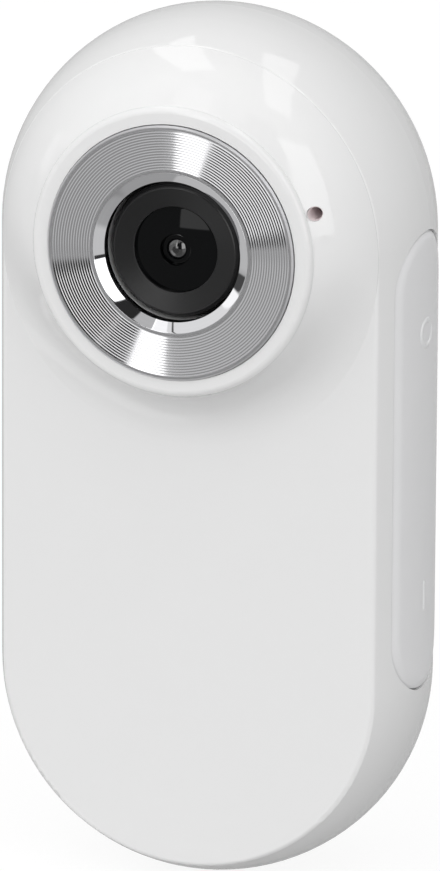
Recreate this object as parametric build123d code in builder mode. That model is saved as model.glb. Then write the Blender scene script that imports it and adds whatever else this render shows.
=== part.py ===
from build123d import *
import os
from math import asin, cos, pi, radians, sin, sqrt

# Pet collar camera: a glossy pill-shaped case with a lens in a raised round
# head, a soft flap down its right side and a sprung clip for a collar behind.
# Millimetres. +Z runs up the case, the lens looks along -Y, +X is the side with
# the flap. The origin is where the middle of the collar sits in the clip.

# Case
case_height = 60.0
case_width = 29.7
front_depth = 6.28
back_depth = 6.2
front_inset = 1.59
back_inset = 2.3
edge_radius = 0.35
wall = 1.4
face_wall = 1.3
tongue_height = 0.9
tongue_width = 0.6
strap_gap = 4.6

# Clearances
fit_gap = 0.02
running_gap = 0.05
slip_gap = 0.1
seat_gap = 0.05
soft_gap = 0.3

# Raised head round the lens
lip_radius = 9.9
lip_depth = 9.9
lip_round = 0.45
low_foot_radius = 14.0
dome_lean = 25.0
dome_pull = 1.58
flank_lean = 78.0
flank_pull = 2.15
flank_run = 2.2
shoulder_angle = 30.0
dome_start_angle = 100.0
head_cavity_radius = 7.6
recess_floor_wall = 1.25
steps_round_head = 12

# Metal ring
ring_radius = 8.69
ring_depth = 10.15
ring_thickness = 1.25
ring_bore_front = 5.43
ring_bore_back = 4.7
ring_bevel_depth = 0.5
groove_start = 5.7
groove_pitch = 0.18
groove_border = 0.16
groove_depth = 0.03
ring_rim = 0.12
adhesive_thickness = 0.15

# Lens
barrel_face_depth = 9.2
barrel_head_radius = 4.55
barrel_head_length = 2.6
barrel_radius = 4.0
barrel_length = 6.6
barrel_bore = 3.2
barrel_opening = 2.94
barrel_lip = 0.5
barrel_step = 0.33
barrel_dish = 0.25
front_lens_thickness = 1.15
front_lens_radius = 2.85
front_lens_bulge = 0.3
front_lens_hollow = 0.4
stop_thickness = 0.3
stop_hole = 1.15
second_lens_thickness = 1.0
second_lens_bulge = 0.4
second_lens_back = 0.2
spacer_thickness = 0.8
spacer_bore = 2.3
third_lens_thickness = 1.2
third_lens_bulge = 0.35
third_lens_hollow = 0.25
retainer_thickness = 0.7
retainer_bore = 2.2

# Lens holder and sensor
holder_size = 12.4
holder_base_top = 2.2
holder_corner = 0.8
holder_neck_wall = 1.6
holder_neck_top = 6.3
holder_ear_length = 17.6
holder_ear_width = 4.0
holder_screw_spread = 7.2
holder_screw_length = 3.0
holder_hole_top = 1.9
holder_cavity_size = 8.2
holder_window = 4.8
holder_floor_depth = 0.95
holder_floor_thickness = 0.4
filter_size = 5.6
filter_thickness = 0.3
sensor_size = 6.4
sensor_thickness = 0.7
sensor_glass_size = 5.6
sensor_glass_thickness = 0.3

# Circuit board: its front face lies just behind the seam
board_depth = -0.3
board_thickness = 1.0
board_side_gap = 3.95
standoff_edge = 1.9
left_standoff_drop = 3.15
right_standoff_drop = 0.85
standoff_radius = 1.6
boss_radius = 1.9
top_boss_inset = 4.8
low_boss_inset = 4.06
low_boss_angle = 46.3

# Screws
screw_radius = 0.7
screw_head_radius = 1.25
screw_head_height = 0.7
screw_recess_width = 0.35
screw_recess_depth = 0.3
screw_recess_share = 0.65
case_screw_length = 9.0
board_screw_length = 3.4
small_screw_radius = 0.6
small_screw_head_radius = 1.05

# Soft flap on the right side
flap_length = 31.2
flap_width = 7.4
flap_centre_depth = 0.75
flap_proud = 0.1
flap_thickness = 1.3
flap_round = 0.3
flap_anchor_length = 3.1
hinge_gap = 0.2
port_plug_length = 1.2
flap_wall = 1.45
anchor_stem_radius = 0.9
anchor_stem_head_radius = 1.5
anchor_stem_head_length = 0.6
mark_height = 0.12
mark_length = 2.2
mark_width = 0.45

# Keys under the flap
power_key_z = 8.9
record_key_z = -9.4
key_length = 4.6
key_width = 2.6
key_sink = 0.35
key_flange = 0.7
key_flange_thickness = 0.7
key_travel = 0.3
switch_length = 4.4
switch_height = 2.4
switch_width = 1.8
plunger_length = 1.8
plunger_height = 1.0
plunger_engagement = 0.8
key_round = 0.3

# Charging port
port_length = 8.94
port_height = 3.26
port_run = 7.3
port_wall = 0.3
port_sink = 0.6
port_tongue_width = 6.69
port_tongue_thickness = 0.7
port_tongue_setback = 1.0
port_base_run = 1.6

# Memory card and its socket, on the back of the board
card_length = 15.0
card_width = 11.0
card_thickness = 0.7
card_z = -2.0
card_sink = 0.3
card_notch = 1.2
card_notch_run = 6.4
card_push = 1.0
card_corner = 0.8
card_board_setback = 0.2
socket_wall = 0.35
socket_spring_run = 3.3
socket_side = 0.7

# Battery
battery_thickness = 4.4
battery_side_gap = 2.95
battery_port_gap = 0.65
battery_holder_gap = 2.45
battery_end_gap = 2.35
battery_corner = 1.5
battery_round = 0.6
battery_pad_thickness = 0.38
lead_inset = 2.5
lead_bend_share = 0.45
lead_radius = 0.35
lead_spacing = 1.6
lead_rise = 1.8

# Chips on the board
processor_size = 9.0
processor_thickness = 1.0
memory_chip_length = 8.0
memory_chip_width = 6.0
memory_chip_gap = 2.3
memory_chip_thickness = 0.9
power_chip_size = 3.0
power_chip_thickness = 0.8
power_chip_gap = 1.4
crystal_length = 3.2
crystal_width = 2.5
crystal_thickness = 0.7
chip_chamfer = 0.12
crystal_edge = 3.9
crystal_gap = 3.0
capacitor_length = 1.0
capacitor_width = 0.5
capacitor_pitch = 1.3
capacitor_rows = 2
capacitor_columns = 5
capacitor_gap = 0.55

# Microphone behind its hole in the head
mic_lip_gap = 0.49
mic_hole_angle = 18.87
mic_hole_radius = 0.5
mic_radius = 1.6
mic_height = 1.3
mic_boot_wall = 0.4
mic_pocket_depth = 1.7
mic_lead_radius = 0.2
mic_lead_inset = 0.9
mic_lead_spread = 1.0

# Collar clip behind the case
clip_width = 13.0
clip_thickness = 1.2
clip_top = 20.5
clip_bottom = -17.0
clip_corner = 3.0
clip_round = 0.4
tooth_length = 2.2
tooth_corner = 0.5
pin_z = 14.5
pin_radius = 0.8
pin_behind_case = 2.9
pin_half_length = 5.7
pin_chamfer = 0.15
knuckle_radius = 1.55
clip_ear_thickness = 1.2
clip_ear_inner = 4.3
bracket_ear_thickness = 1.0
bracket_ear_inner = 3.2
bracket_plate = 1.1
bracket_corner = 1.0
bracket_boss = 1.3
bracket_top = 20.0
bracket_bottom = 10.5
bracket_screw_spread = 3.1
bracket_screw_z = 15.0
bracket_screw_length = 2.4
pad_width = 8.6
pad_top = 8.0
pad_bottom = -12.5
pad_sink = 0.5
pad_proud = 0.1
pad_corner = 1.0
grip_rib_count = 3
grip_rib_pitch = 1.3
grip_rib_radius = 0.35

# Torsion spring of the clip
spring_wire = 0.6
spring_mean_radius = 1.3
spring_pitch = 1.02
spring_turns = 4.5
spring_leg = 3.8

# Places that follow from the sizes above
side_radius = case_width / 2
end_z = case_height / 2 - side_radius
lens_z = end_z
seam_y = -(back_depth + strap_gap / 2)
inner_front = front_depth - face_wall
inner_back = -(back_depth - face_wall)
board_back = board_depth - board_thickness
board_half_width = side_radius - board_side_gap
standoff_x = board_half_width - standoff_edge
low_boss_way = side_radius - low_boss_inset
low_boss_x = low_boss_way * sin(radians(low_boss_angle))
low_boss_z = -end_z - low_boss_way * cos(radians(low_boss_angle))
recess_floor_depth = ring_depth - ring_thickness - adhesive_thickness
flap_face_x = side_radius + flap_proud
flap_floor_x = flap_face_x - flap_thickness - seat_gap
flap_wall_x = flap_floor_x - flap_wall
flap_hinge_z = flap_length / 2 - flap_anchor_length
port_depth = board_depth + port_height / 2
port_mouth_x = flap_floor_x - port_sink
key_face_x = flap_floor_x - key_sink
key_back_x = flap_wall_x - slip_gap - key_flange_thickness
switch_face_x = board_half_width
switch_depth = board_depth + switch_height / 2
card_depth = board_back - socket_wall - fit_gap - card_thickness / 2
card_outer_x = -(side_radius - card_sink)
mic_way = lip_radius + mic_lip_gap
mic_hole_x = mic_way * cos(radians(mic_hole_angle))
mic_hole_z = lens_z + mic_way * sin(radians(mic_hole_angle))
holder_neck_radius = barrel_radius + fit_gap + holder_neck_wall
pin_depth = -(back_depth + pin_behind_case)
arm_inner_depth = -(back_depth + strap_gap)
arm_outer_depth = arm_inner_depth - clip_thickness
screw_seat_depth = -(back_depth - screw_head_height - slip_gap)
bracket_screw_seat = -(back_depth + bracket_plate - screw_head_height)
bracket_boss_top = inner_back + bracket_boss
bracket_hole_top = bracket_screw_seat + bracket_screw_length + slip_gap
case_screw_places = [
    (0, case_height / 2 - top_boss_inset),
    (-low_boss_x, low_boss_z),
    (low_boss_x, low_boss_z),
]
standoff_places = [
    (-standoff_x, lens_z - left_standoff_drop),
    (standoff_x, -end_z - right_standoff_drop),
]
holder_screw_places = [(-holder_screw_spread, lens_z), (holder_screw_spread, lens_z)]
bracket_screw_places = [
    (0, bracket_screw_z - bracket_screw_spread),
    (0, bracket_screw_z + bracket_screw_spread),
]
port_inner_x = port_mouth_x - port_run
battery_left = -(side_radius - battery_side_gap)
battery_right = port_inner_x - battery_port_gap
battery_top = lens_z - holder_size / 2 - battery_holder_gap
battery_bottom = -end_z - battery_end_gap


def at_depth(depth):
    """Plane facing the front, this far in front of the seam: local x is X and local y is Z."""
    return Plane.XZ.offset(depth - seam_y)


def across(z):
    """Plane of the case's cross-section at this height: local x is X and local y is depth."""
    return Plane(origin=(0, seam_y, z), x_dir=(1, 0, 0), z_dir=(0, 0, -1))


def from_side(x):
    """Plane facing the right side: local x is depth towards the front and local y is Z."""
    return Plane(origin=(x, seam_y, 0), x_dir=(0, -1, 0), z_dir=(-1, 0, 0))


def depth_axis(x, z):
    """Axis along the lens direction through this point of the case's front."""
    return Axis((x, seam_y, z), (0, -1, 0))


def half_section(radius, depth, inset, edge):
    """Half of a cross-section, flat at the seam and at the face and crowned at the side."""
    way = 1 if depth > 0 else -1
    with BuildSketch() as half:
        with BuildLine():
            seam = Line((0, 0), (radius, 0))
            crown = TangentArc((radius, 0), (radius - inset, depth), tangent=(0, way))
            face = Line(crown @ 1, (0, depth))
            Line(face @ 1, seam @ 0)
        make_face()
        if edge > 0:
            corner = half.vertices().sort_by_distance((radius - inset, depth))[0]
            fillet(corner, radius=edge)
    return half.sketch


def pill(length, width, depth, inset, edge):
    """Block with a straight middle and round ends that grows from the seam to a flat face."""
    half = half_section(width / 2, depth, inset, edge)
    half_run = (length - width) / 2
    with BuildPart() as body:
        with BuildSketch(across(half_run)):
            add(half)
            mirror(half, about=Plane.YZ)
        extrude(amount=2 * half_run)
        for z in (half_run, -half_run):
            with BuildSketch(across(z)):
                add(half)
            revolve(axis=depth_axis(0, z))
    return body.part


def disc(radius, low, high, x=0, z=0, bore=0):
    """Round block between two depths, with an optional bore."""
    with BuildPart() as round_block:
        with BuildSketch(at_depth(low)):
            with Locations((x, z)):
                Circle(radius)
                if bore > 0:
                    Circle(bore, mode=Mode.SUBTRACT)
        extrude(amount=high - low)
    return round_block.part


def block(width, height, low, high, x=0, z=0, corner=0):
    """Rectangular block between two depths, with round corners in front view."""
    with BuildPart() as brick:
        with BuildSketch(at_depth(low)):
            with Locations((x, z)):
                if corner > 0:
                    RectangleRounded(width, height, corner)
                else:
                    Rectangle(width, height)
        extrude(amount=high - low)
    return brick.part


def side_slot(length, width, depth, z, low_x, high_x):
    """Obround block that points out of the right side, long way up."""
    with BuildPart() as slot:
        with BuildSketch(from_side(high_x)):
            with Locations((depth, z)):
                SlotOverall(length, width, rotation=90)
        extrude(amount=high_x - low_x)
    return slot.part


def crowned_side(radius):
    """Long block with the case's crowned sides, which reach this far from the middle."""
    with BuildPart() as long_block:
        with BuildSketch(across(case_height)):
            add(half_section(radius, front_depth, front_inset, 0))
            add(half_section(radius, -back_depth, back_inset, 0))
        extrude(amount=2 * case_height)
    return long_block.part


def save(piece, name):
    """Label a finished piece and write it."""
    piece.part.label = name
    export_step(piece.part, f"parts/{name}.step")


os.makedirs("parts", exist_ok=True)

# Cuts that both shells share
flap_recess = side_slot(
    flap_length + 2 * soft_gap,
    flap_width + 2 * soft_gap,
    flap_centre_depth,
    0,
    flap_floor_x,
    flap_face_x + wall,
)
port_hole = side_slot(
    port_length + 2 * slip_gap,
    port_height + 2 * slip_gap,
    port_depth,
    0,
    flap_wall_x - wall,
    flap_face_x,
)
key_holes = [
    side_slot(
        key_length + 2 * running_gap,
        key_width + 2 * running_gap,
        flap_centre_depth,
        z,
        flap_wall_x - wall,
        flap_face_x,
    )
    for z in (power_key_z, record_key_z)
]
anchor_z = (flap_length / 2 + flap_hinge_z) / 2 - anchor_stem_radius / 2
with BuildPart() as anchor_hole:
    with BuildSketch(from_side(flap_face_x)):
        with Locations((flap_centre_depth, anchor_z)):
            Circle(anchor_stem_radius + running_gap)
    extrude(amount=flap_face_x - flap_wall_x + wall)
side_cuts = [flap_recess, port_hole, *key_holes, anchor_hole.part]

# The thick wall behind the flap: a flat block along the right side
flap_wall_height = flap_length + 2 * (soft_gap + wall)


def cavity(depth, inset):
    """Room inside one shell, leaving the thick wall behind the flap."""
    room = pill(case_height - 2 * wall, case_width - 2 * wall, depth, inset, 0)
    with BuildPart() as hollow:
        add(room)
        with BuildSketch(from_side(side_radius)):
            Rectangle(2 * case_width, flap_wall_height)
        extrude(amount=side_radius - flap_wall_x, mode=Mode.SUBTRACT)
    return hollow.part


# The head's skin is one curve from the lip to its foot. Over the top it is a
# dome that meets the crowned side smoothly, below it drops to a hollow flank.
crown_radius = (front_depth**2 + front_inset**2) / (2 * front_inset)
crown_lean = asin(front_depth / crown_radius)


def lean(angle, length):
    """Vector of this length that falls outwards at this angle below the face."""
    return (length * cos(radians(angle)), -length * sin(radians(angle)))


def blend(high, low, share):
    """Mix of two points: share 1 gives the first and 0 the second."""
    return tuple(a * share + b * (1 - share) for a, b in zip(high, low))


def head_section(share):
    """Radial section of the head: share 1 is the dome above, 0 the hollow flank below."""
    dome_foot = (side_radius - front_inset, front_depth)
    dome_end = (dome_foot[0] - dome_pull * sin(crown_lean), front_depth + dome_pull * cos(crown_lean))
    flank_foot = (low_foot_radius, front_depth)
    flank_end = (low_foot_radius - flank_run, front_depth)
    rim = (lip_radius, lip_depth - lip_round)
    start = blend(lean(dome_lean, dome_pull), lean(flank_lean, flank_pull), share)
    foot = blend(dome_foot, flank_foot, share)
    with BuildSketch() as section:
        with BuildLine():
            top = Line((barrel_radius, lip_depth), (lip_radius - lip_round, lip_depth))
            TangentArc(top @ 1, rim, tangent=(1, 0))
            Bezier(
                rim,
                (rim[0] + start[0], rim[1] + start[1]),
                blend(dome_end, flank_end, share),
                foot,
            )
            Polyline(foot, (foot[0], inner_front), (barrel_radius, inner_front), top @ 0)
        make_face()
    return section.sketch


def dome_share(angle):
    """How far the head is a dome at this angle up from straight down, from 0 to 1."""
    across_shoulder = (angle - shoulder_angle) / (dome_start_angle - shoulder_angle)
    step = min(max(across_shoulder, 0), 1)
    return step * step * (3 - 2 * step)


with BuildPart() as head:
    for step in range(steps_round_head + 1):
        turn = 180 * step / steps_round_head
        out_x = sin(radians(turn))
        out_z = -cos(radians(turn))
        radial = Plane(origin=(0, seam_y, lens_z), x_dir=(out_x, 0, out_z), z_dir=(out_z, 0, -out_x))
        with BuildSketch(radial):
            add(head_section(dome_share(turn)))
    loft()
    mirror(about=Plane.YZ)


def seam_ring(outer_inset, inner_inset, height):
    """Low stadium ring on the seam, between two insets from the case's outline."""
    with BuildPart() as ring:
        with BuildSketch(at_depth(0)):
            SlotOverall(case_height - 2 * outer_inset, case_width - 2 * outer_inset, rotation=90)
            SlotOverall(
                case_height - 2 * inner_inset,
                case_width - 2 * inner_inset,
                rotation=90,
                mode=Mode.SUBTRACT,
            )
        extrude(amount=height)
    return ring.part


# Tongue of the back shell and the rebate in the front shell that it goes into
tongue_inset = wall - tongue_width
rebate = seam_ring(tongue_inset - running_gap, wall, tongue_height + slip_gap)
tongue = seam_ring(tongue_inset, wall, tongue_height)
shell_screw_hole = screw_radius + fit_gap
mic_top = inner_front + mic_pocket_depth
recess_floor_back = recess_floor_depth - recess_floor_wall

# Front shell: the crowned front with the raised head, its ring recess and bosses
with BuildPart() as front_shell:
    add(pill(case_height, case_width, front_depth, front_inset, edge_radius))
    add(head.part)
    add(cavity(inner_front, front_inset), mode=Mode.SUBTRACT)
    for x, z in case_screw_places:
        add(disc(boss_radius, 0, inner_front, x, z))
        add(disc(shell_screw_hole, 0, inner_front, x, z), mode=Mode.SUBTRACT)
    add(rebate, mode=Mode.SUBTRACT)
    add(disc(head_cavity_radius, 0, recess_floor_back, 0, lens_z), mode=Mode.SUBTRACT)
    add(disc(ring_radius + running_gap, recess_floor_depth, ring_depth, 0, lens_z), mode=Mode.SUBTRACT)
    add(disc(barrel_head_radius + soft_gap, 0, ring_depth, 0, lens_z), mode=Mode.SUBTRACT)
    add(disc(mic_radius + mic_boot_wall, 0, mic_top, mic_hole_x, mic_hole_z), mode=Mode.SUBTRACT)
    add(disc(mic_hole_radius, 0, ring_depth, mic_hole_x, mic_hole_z), mode=Mode.SUBTRACT)
    for cut in side_cuts:
        add(cut, mode=Mode.SUBTRACT)
save(front_shell, "front_shell")

# Back shell: the crowned back with the card slot, bosses and standoffs
card_slot_width = card_width + 2 * slip_gap
card_slot_height = card_thickness + 2 * slip_gap
with BuildPart() as back_shell:
    add(pill(case_height, case_width, -back_depth, back_inset, edge_radius))
    add(cavity(inner_back, back_inset), mode=Mode.SUBTRACT)
    add(tongue)
    for x, z in case_screw_places:
        add(disc(boss_radius, inner_back, 0, x, z))
        add(disc(shell_screw_hole, -back_depth, 0, x, z), mode=Mode.SUBTRACT)
        add(
            disc(screw_head_radius + slip_gap, -back_depth, screw_seat_depth, x, z),
            mode=Mode.SUBTRACT,
        )
    for x, z in standoff_places:
        add(disc(standoff_radius, inner_back, board_back, x, z))
        add(disc(shell_screw_hole, inner_back, board_back, x, z), mode=Mode.SUBTRACT)
    for x, z in bracket_screw_places:
        add(disc(boss_radius, inner_back, bracket_boss_top, x, z))
        add(disc(shell_screw_hole, -back_depth, bracket_hole_top, x, z), mode=Mode.SUBTRACT)
    with BuildSketch(from_side(0)):
        with Locations((card_depth, card_z)):
            Rectangle(card_slot_height, card_slot_width)
    extrude(amount=case_width, mode=Mode.SUBTRACT)
    for cut in side_cuts:
        add(cut, mode=Mode.SUBTRACT)
save(back_shell, "back_shell")


def screws(places, seat, way, length, head_radius=screw_head_radius, radius=screw_radius):
    """Pan-head screws with a cross recess, one solid each: the shank runs from the seat
    to the front where way is 1, and to the back where it is -1."""
    head_face = seat - way * screw_head_height
    recess_floor = head_face + way * screw_recess_depth
    arm = 2 * head_radius * screw_recess_share
    with BuildPart() as group:
        for x, z in places:
            add(disc(head_radius, *sorted((seat, head_face)), x, z))
            add(disc(radius, *sorted((seat, seat + way * length)), x, z))
            for width, height in ((arm, screw_recess_width), (screw_recess_width, arm)):
                bar = block(width, height, *sorted((head_face, recess_floor)), x, z)
                add(bar, mode=Mode.SUBTRACT)
    return group


# Screws: through the back shell into the front one, through the board into its
# standoffs, through the board into the lens holder and through the clip's bracket
case_screws = screws(case_screw_places, screw_seat_depth, 1, case_screw_length)
save(case_screws, "case_screws")
board_screws = screws(standoff_places, board_depth, -1, board_screw_length)
save(board_screws, "board_screws")
holder_screws = screws(
    holder_screw_places,
    board_back,
    1,
    holder_screw_length,
    small_screw_head_radius,
    small_screw_radius,
)
save(holder_screws, "holder_screws")
bracket_screws = screws(bracket_screw_places, bracket_screw_seat, 1, bracket_screw_length)
save(bracket_screws, "bracket_screws")

# Metal ring: a flat face cut with fine concentric grooves, a polished bevel inside
ring_back = ring_depth - ring_thickness
ring_face_radius = ring_radius - ring_rim
groove_count = int((ring_face_radius - groove_border - groove_start) / groove_pitch)
with BuildPart() as lens_ring:
    with BuildSketch(across(lens_z)):
        with BuildLine():
            corners = [
                (ring_bore_back, ring_back),
                (ring_radius, ring_back),
                (ring_radius, ring_depth - ring_rim),
                (ring_face_radius, ring_depth),
            ]
            for groove in reversed(range(groove_count)):
                start = groove_start + groove * groove_pitch
                corners.append((start + groove_pitch, ring_depth))
                corners.append((start + groove_pitch / 2, ring_depth - groove_depth))
            corners.append((groove_start, ring_depth))
            corners.append((ring_bore_front, ring_depth))
            corners.append((ring_bore_back, ring_depth - ring_bevel_depth))
            Polyline(*corners, close=True)
        make_face()
    revolve(axis=depth_axis(0, lens_z))
save(lens_ring, "lens_ring")

with BuildPart() as ring_adhesive:
    add(
        disc(
            ring_radius - slip_gap,
            recess_floor_depth,
            ring_back,
            0,
            lens_z,
            barrel_head_radius + soft_gap + slip_gap,
        )
    )
save(ring_adhesive, "ring_adhesive")

# Lens barrel: a wide head with a bevelled rim and a dished face on a narrow threaded body
barrel_back = barrel_face_depth - barrel_length
barrel_neck_depth = barrel_face_depth - barrel_head_length
lens_seat_depth = barrel_face_depth - barrel_lip
with BuildPart() as lens_barrel:
    with BuildSketch(across(lens_z)):
        with BuildLine():
            Polyline(
                (barrel_bore, barrel_back),
                (barrel_radius, barrel_back),
                (barrel_radius, barrel_neck_depth),
                (barrel_head_radius, barrel_neck_depth),
                (barrel_head_radius, barrel_face_depth - barrel_step),
                (barrel_head_radius - barrel_step, barrel_face_depth),
                (barrel_opening, barrel_face_depth - barrel_dish),
                (barrel_opening, lens_seat_depth),
                (barrel_bore, lens_seat_depth),
                close=True,
            )
        make_face()
    revolve(axis=depth_axis(0, lens_z))
save(lens_barrel, "lens_barrel")


def lens(front, thickness, centre_radius, bulge, back_bulge):
    """Glass element that fills the barrel's bore: each face curves out to centre_radius,
    forwards by bulge and backwards by back_bulge, and is flat from there to the edge."""
    back = front - thickness
    edge = barrel_bore - fit_gap
    with BuildPart() as element:
        with BuildSketch(across(lens_z)):
            with BuildLine():
                front_face = TangentArc((0, front + bulge), (centre_radius, front), tangent=(1, 0))
                back_face = TangentArc((0, back - back_bulge), (centre_radius, back), tangent=(1, 0))
                Polyline(front_face @ 1, (edge, front), (edge, back), back_face @ 1)
                Line(front_face @ 0, back_face @ 0)
            make_face()
        revolve(axis=depth_axis(0, lens_z))
    return element


def collar(front, thickness, bore):
    """Flat ring that fills the barrel's bore, with its front face at this depth."""
    with BuildPart() as ring:
        add(disc(barrel_bore - fit_gap, front - thickness, front, 0, lens_z, bore))
    return ring


# What the barrel holds, from the front to the back, each piece against the last
front_lens = lens(
    lens_seat_depth, front_lens_thickness, front_lens_radius, front_lens_bulge, -front_lens_hollow
)
save(front_lens, "front_lens")
stop_depth = lens_seat_depth - front_lens_thickness
save(collar(stop_depth, stop_thickness, stop_hole), "aperture_stop")
second_depth = stop_depth - stop_thickness
second_lens = lens(
    second_depth, second_lens_thickness, stop_hole - running_gap, second_lens_bulge, second_lens_back
)
save(second_lens, "second_lens")
spacer_depth = second_depth - second_lens_thickness
save(collar(spacer_depth, spacer_thickness, spacer_bore), "lens_spacer")
third_depth = spacer_depth - spacer_thickness
third_lens = lens(
    third_depth, third_lens_thickness, spacer_bore - slip_gap, third_lens_bulge, -third_lens_hollow
)
save(third_lens, "third_lens")
retainer_depth = third_depth - third_lens_thickness
save(collar(retainer_depth, retainer_thickness, retainer_bore), "lens_retainer")

# Seal between the holder's neck and the case, round the barrel's head
with BuildPart() as lens_seal:
    add(
        disc(
            holder_neck_radius,
            holder_neck_top,
            recess_floor_back,
            0,
            lens_z,
            barrel_head_radius + slip_gap,
        )
    )
save(lens_seal, "lens_seal")

# Lens holder: a square base with screw ears over the sensor, and a neck for the barrel
holder_floor_top = holder_floor_depth + holder_floor_thickness
with BuildPart() as lens_holder:
    with BuildSketch(at_depth(board_depth)):
        with Locations((0, lens_z)):
            RectangleRounded(holder_size, holder_size, holder_corner)
            SlotOverall(holder_ear_length, holder_ear_width)
    extrude(amount=holder_base_top - board_depth)
    add(disc(holder_neck_radius, holder_base_top, holder_neck_top, 0, lens_z))
    add(
        block(holder_cavity_size, holder_cavity_size, board_depth, holder_floor_depth, 0, lens_z),
        mode=Mode.SUBTRACT,
    )
    add(
        block(holder_window, holder_window, holder_floor_depth, holder_floor_top, 0, lens_z),
        mode=Mode.SUBTRACT,
    )
    add(
        disc(barrel_radius + fit_gap, holder_floor_top, holder_neck_top, 0, lens_z),
        mode=Mode.SUBTRACT,
    )
    for x, z in holder_screw_places:
        hole = disc(small_screw_radius + fit_gap, board_depth, holder_hole_top, x, z)
        add(hole, mode=Mode.SUBTRACT)
save(lens_holder, "lens_holder")

with BuildPart() as ir_filter:
    add(block(filter_size, filter_size, holder_floor_top, holder_floor_top + filter_thickness, 0, lens_z))
save(ir_filter, "ir_filter")

sensor_top = board_depth + sensor_thickness
with BuildPart() as image_sensor:
    add(block(sensor_size, sensor_size, board_depth, sensor_top, 0, lens_z))
save(image_sensor, "image_sensor")

with BuildPart() as sensor_glass:
    glass_top = sensor_top + sensor_glass_thickness
    add(block(sensor_glass_size, sensor_glass_size, sensor_top, glass_top, 0, lens_z))
save(sensor_glass, "sensor_glass")

# Circuit board: a stadium with notches round the case's bosses and holes for screws
with BuildPart() as circuit_board:
    with BuildSketch(at_depth(board_back)):
        SlotOverall(2 * (end_z + board_half_width), 2 * board_half_width, rotation=90)
        with Locations(*case_screw_places):
            Circle(boss_radius + soft_gap, mode=Mode.SUBTRACT)
        with Locations(*standoff_places):
            Circle(screw_radius + slip_gap, mode=Mode.SUBTRACT)
        with Locations(*holder_screw_places):
            Circle(small_screw_radius + slip_gap, mode=Mode.SUBTRACT)
    extrude(amount=board_thickness)
save(circuit_board, "circuit_board")


def chip(width, height, thickness, x, z, on_front):
    """Flat package soldered to the front or to the back of the board."""
    low, high = (board_depth, board_depth + thickness) if on_front else (board_back - thickness, board_back)
    with BuildPart() as package:
        add(block(width, height, low, high, x, z))
        top = package.faces().sort_by(Axis.Y)[0 if on_front else -1]
        chamfer(top.edges(), length=chip_chamfer)
    return package


processor = chip(processor_size, processor_size, processor_thickness, 0, lens_z, False)
save(processor, "processor_chip")
socket_low_z = card_z - card_width / 2 - socket_side
memory_chip_z = socket_low_z - memory_chip_gap - memory_chip_width / 2
memory = chip(memory_chip_length, memory_chip_width, memory_chip_thickness, 0, memory_chip_z, False)
save(memory, "memory_chip")
power_chip_z = battery_bottom - power_chip_gap - power_chip_size / 2
power = chip(power_chip_size, power_chip_size, power_chip_thickness, 0, power_chip_z, True)
save(power, "power_chip")
crystal_x = board_half_width - crystal_edge
crystal_z = lens_z - processor_size / 2 - crystal_gap - crystal_width / 2
crystal = chip(crystal_length, crystal_width, crystal_thickness, crystal_x, crystal_z, False)
save(crystal, "crystal")

capacitor_rise = (capacitor_rows - 1) * capacitor_pitch + capacitor_length
capacitor_z = power_chip_z - power_chip_size / 2 - capacitor_gap - capacitor_rise / 2
with BuildPart() as capacitors:
    with BuildSketch(at_depth(board_depth)):
        with Locations((0, capacitor_z)):
            with GridLocations(capacitor_pitch, capacitor_pitch, capacitor_columns, capacitor_rows):
                Rectangle(capacitor_width, capacitor_length)
    extrude(amount=capacitor_width)
save(capacitors, "capacitors")

# Charging port: an obround metal tube on the board, with a tongue inside
with BuildPart() as usb_socket:
    add(side_slot(port_length, port_height, port_depth, 0, port_inner_x, port_mouth_x))
    add(
        side_slot(
            port_length - 2 * port_wall,
            port_height - 2 * port_wall,
            port_depth,
            0,
            port_inner_x,
            port_mouth_x,
        ),
        mode=Mode.SUBTRACT,
    )
save(usb_socket, "usb_socket")

port_base_x = port_inner_x + port_base_run
port_tongue_x = port_mouth_x - port_tongue_setback
with BuildPart() as usb_tongue:
    add(
        side_slot(
            port_length - 2 * (port_wall + fit_gap),
            port_height - 2 * (port_wall + fit_gap),
            port_depth,
            0,
            port_inner_x,
            port_base_x,
        )
    )
    add(
        block(
            port_tongue_x - port_inner_x,
            port_tongue_width,
            port_depth - port_tongue_thickness / 2,
            port_depth + port_tongue_thickness / 2,
            (port_tongue_x + port_inner_x) / 2,
            0,
        )
    )
save(usb_tongue, "usb_tongue")

# Memory card in a push-push socket on the back of the board, open to the left
card_inner_x = card_outer_x + card_length
socket_left = card_board_setback - board_half_width
socket_right = card_inner_x + socket_spring_run
socket_middle = (socket_left + socket_right) / 2
socket_back = board_back - 2 * (socket_wall + running_gap) - card_thickness
slot_end = card_inner_x + card_push
with BuildPart() as card_socket:
    add(
        block(
            socket_right - socket_left,
            card_width + 2 * socket_side,
            socket_back,
            board_back,
            socket_middle,
            card_z,
        )
    )
    add(
        block(
            slot_end - socket_left,
            card_width + 2 * running_gap,
            card_depth - card_thickness / 2 - running_gap,
            card_depth + card_thickness / 2 + running_gap,
            (slot_end + socket_left) / 2,
            card_z,
        ),
        mode=Mode.SUBTRACT,
    )
save(card_socket, "card_socket")

with BuildPart() as memory_card:
    card_middle = (card_outer_x + card_inner_x) / 2
    card_low = card_depth - card_thickness / 2
    add(
        block(
            card_length, card_width, card_low, card_low + card_thickness, card_middle, card_z, card_corner
        )
    )
    notch_z = card_z + card_width / 2
    add(
        block(
            card_notch_run,
            2 * card_notch,
            card_low,
            card_low + card_thickness,
            card_inner_x - card_notch_run / 2,
            notch_z,
        ),
        mode=Mode.SUBTRACT,
    )
save(memory_card, "memory_card")


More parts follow.
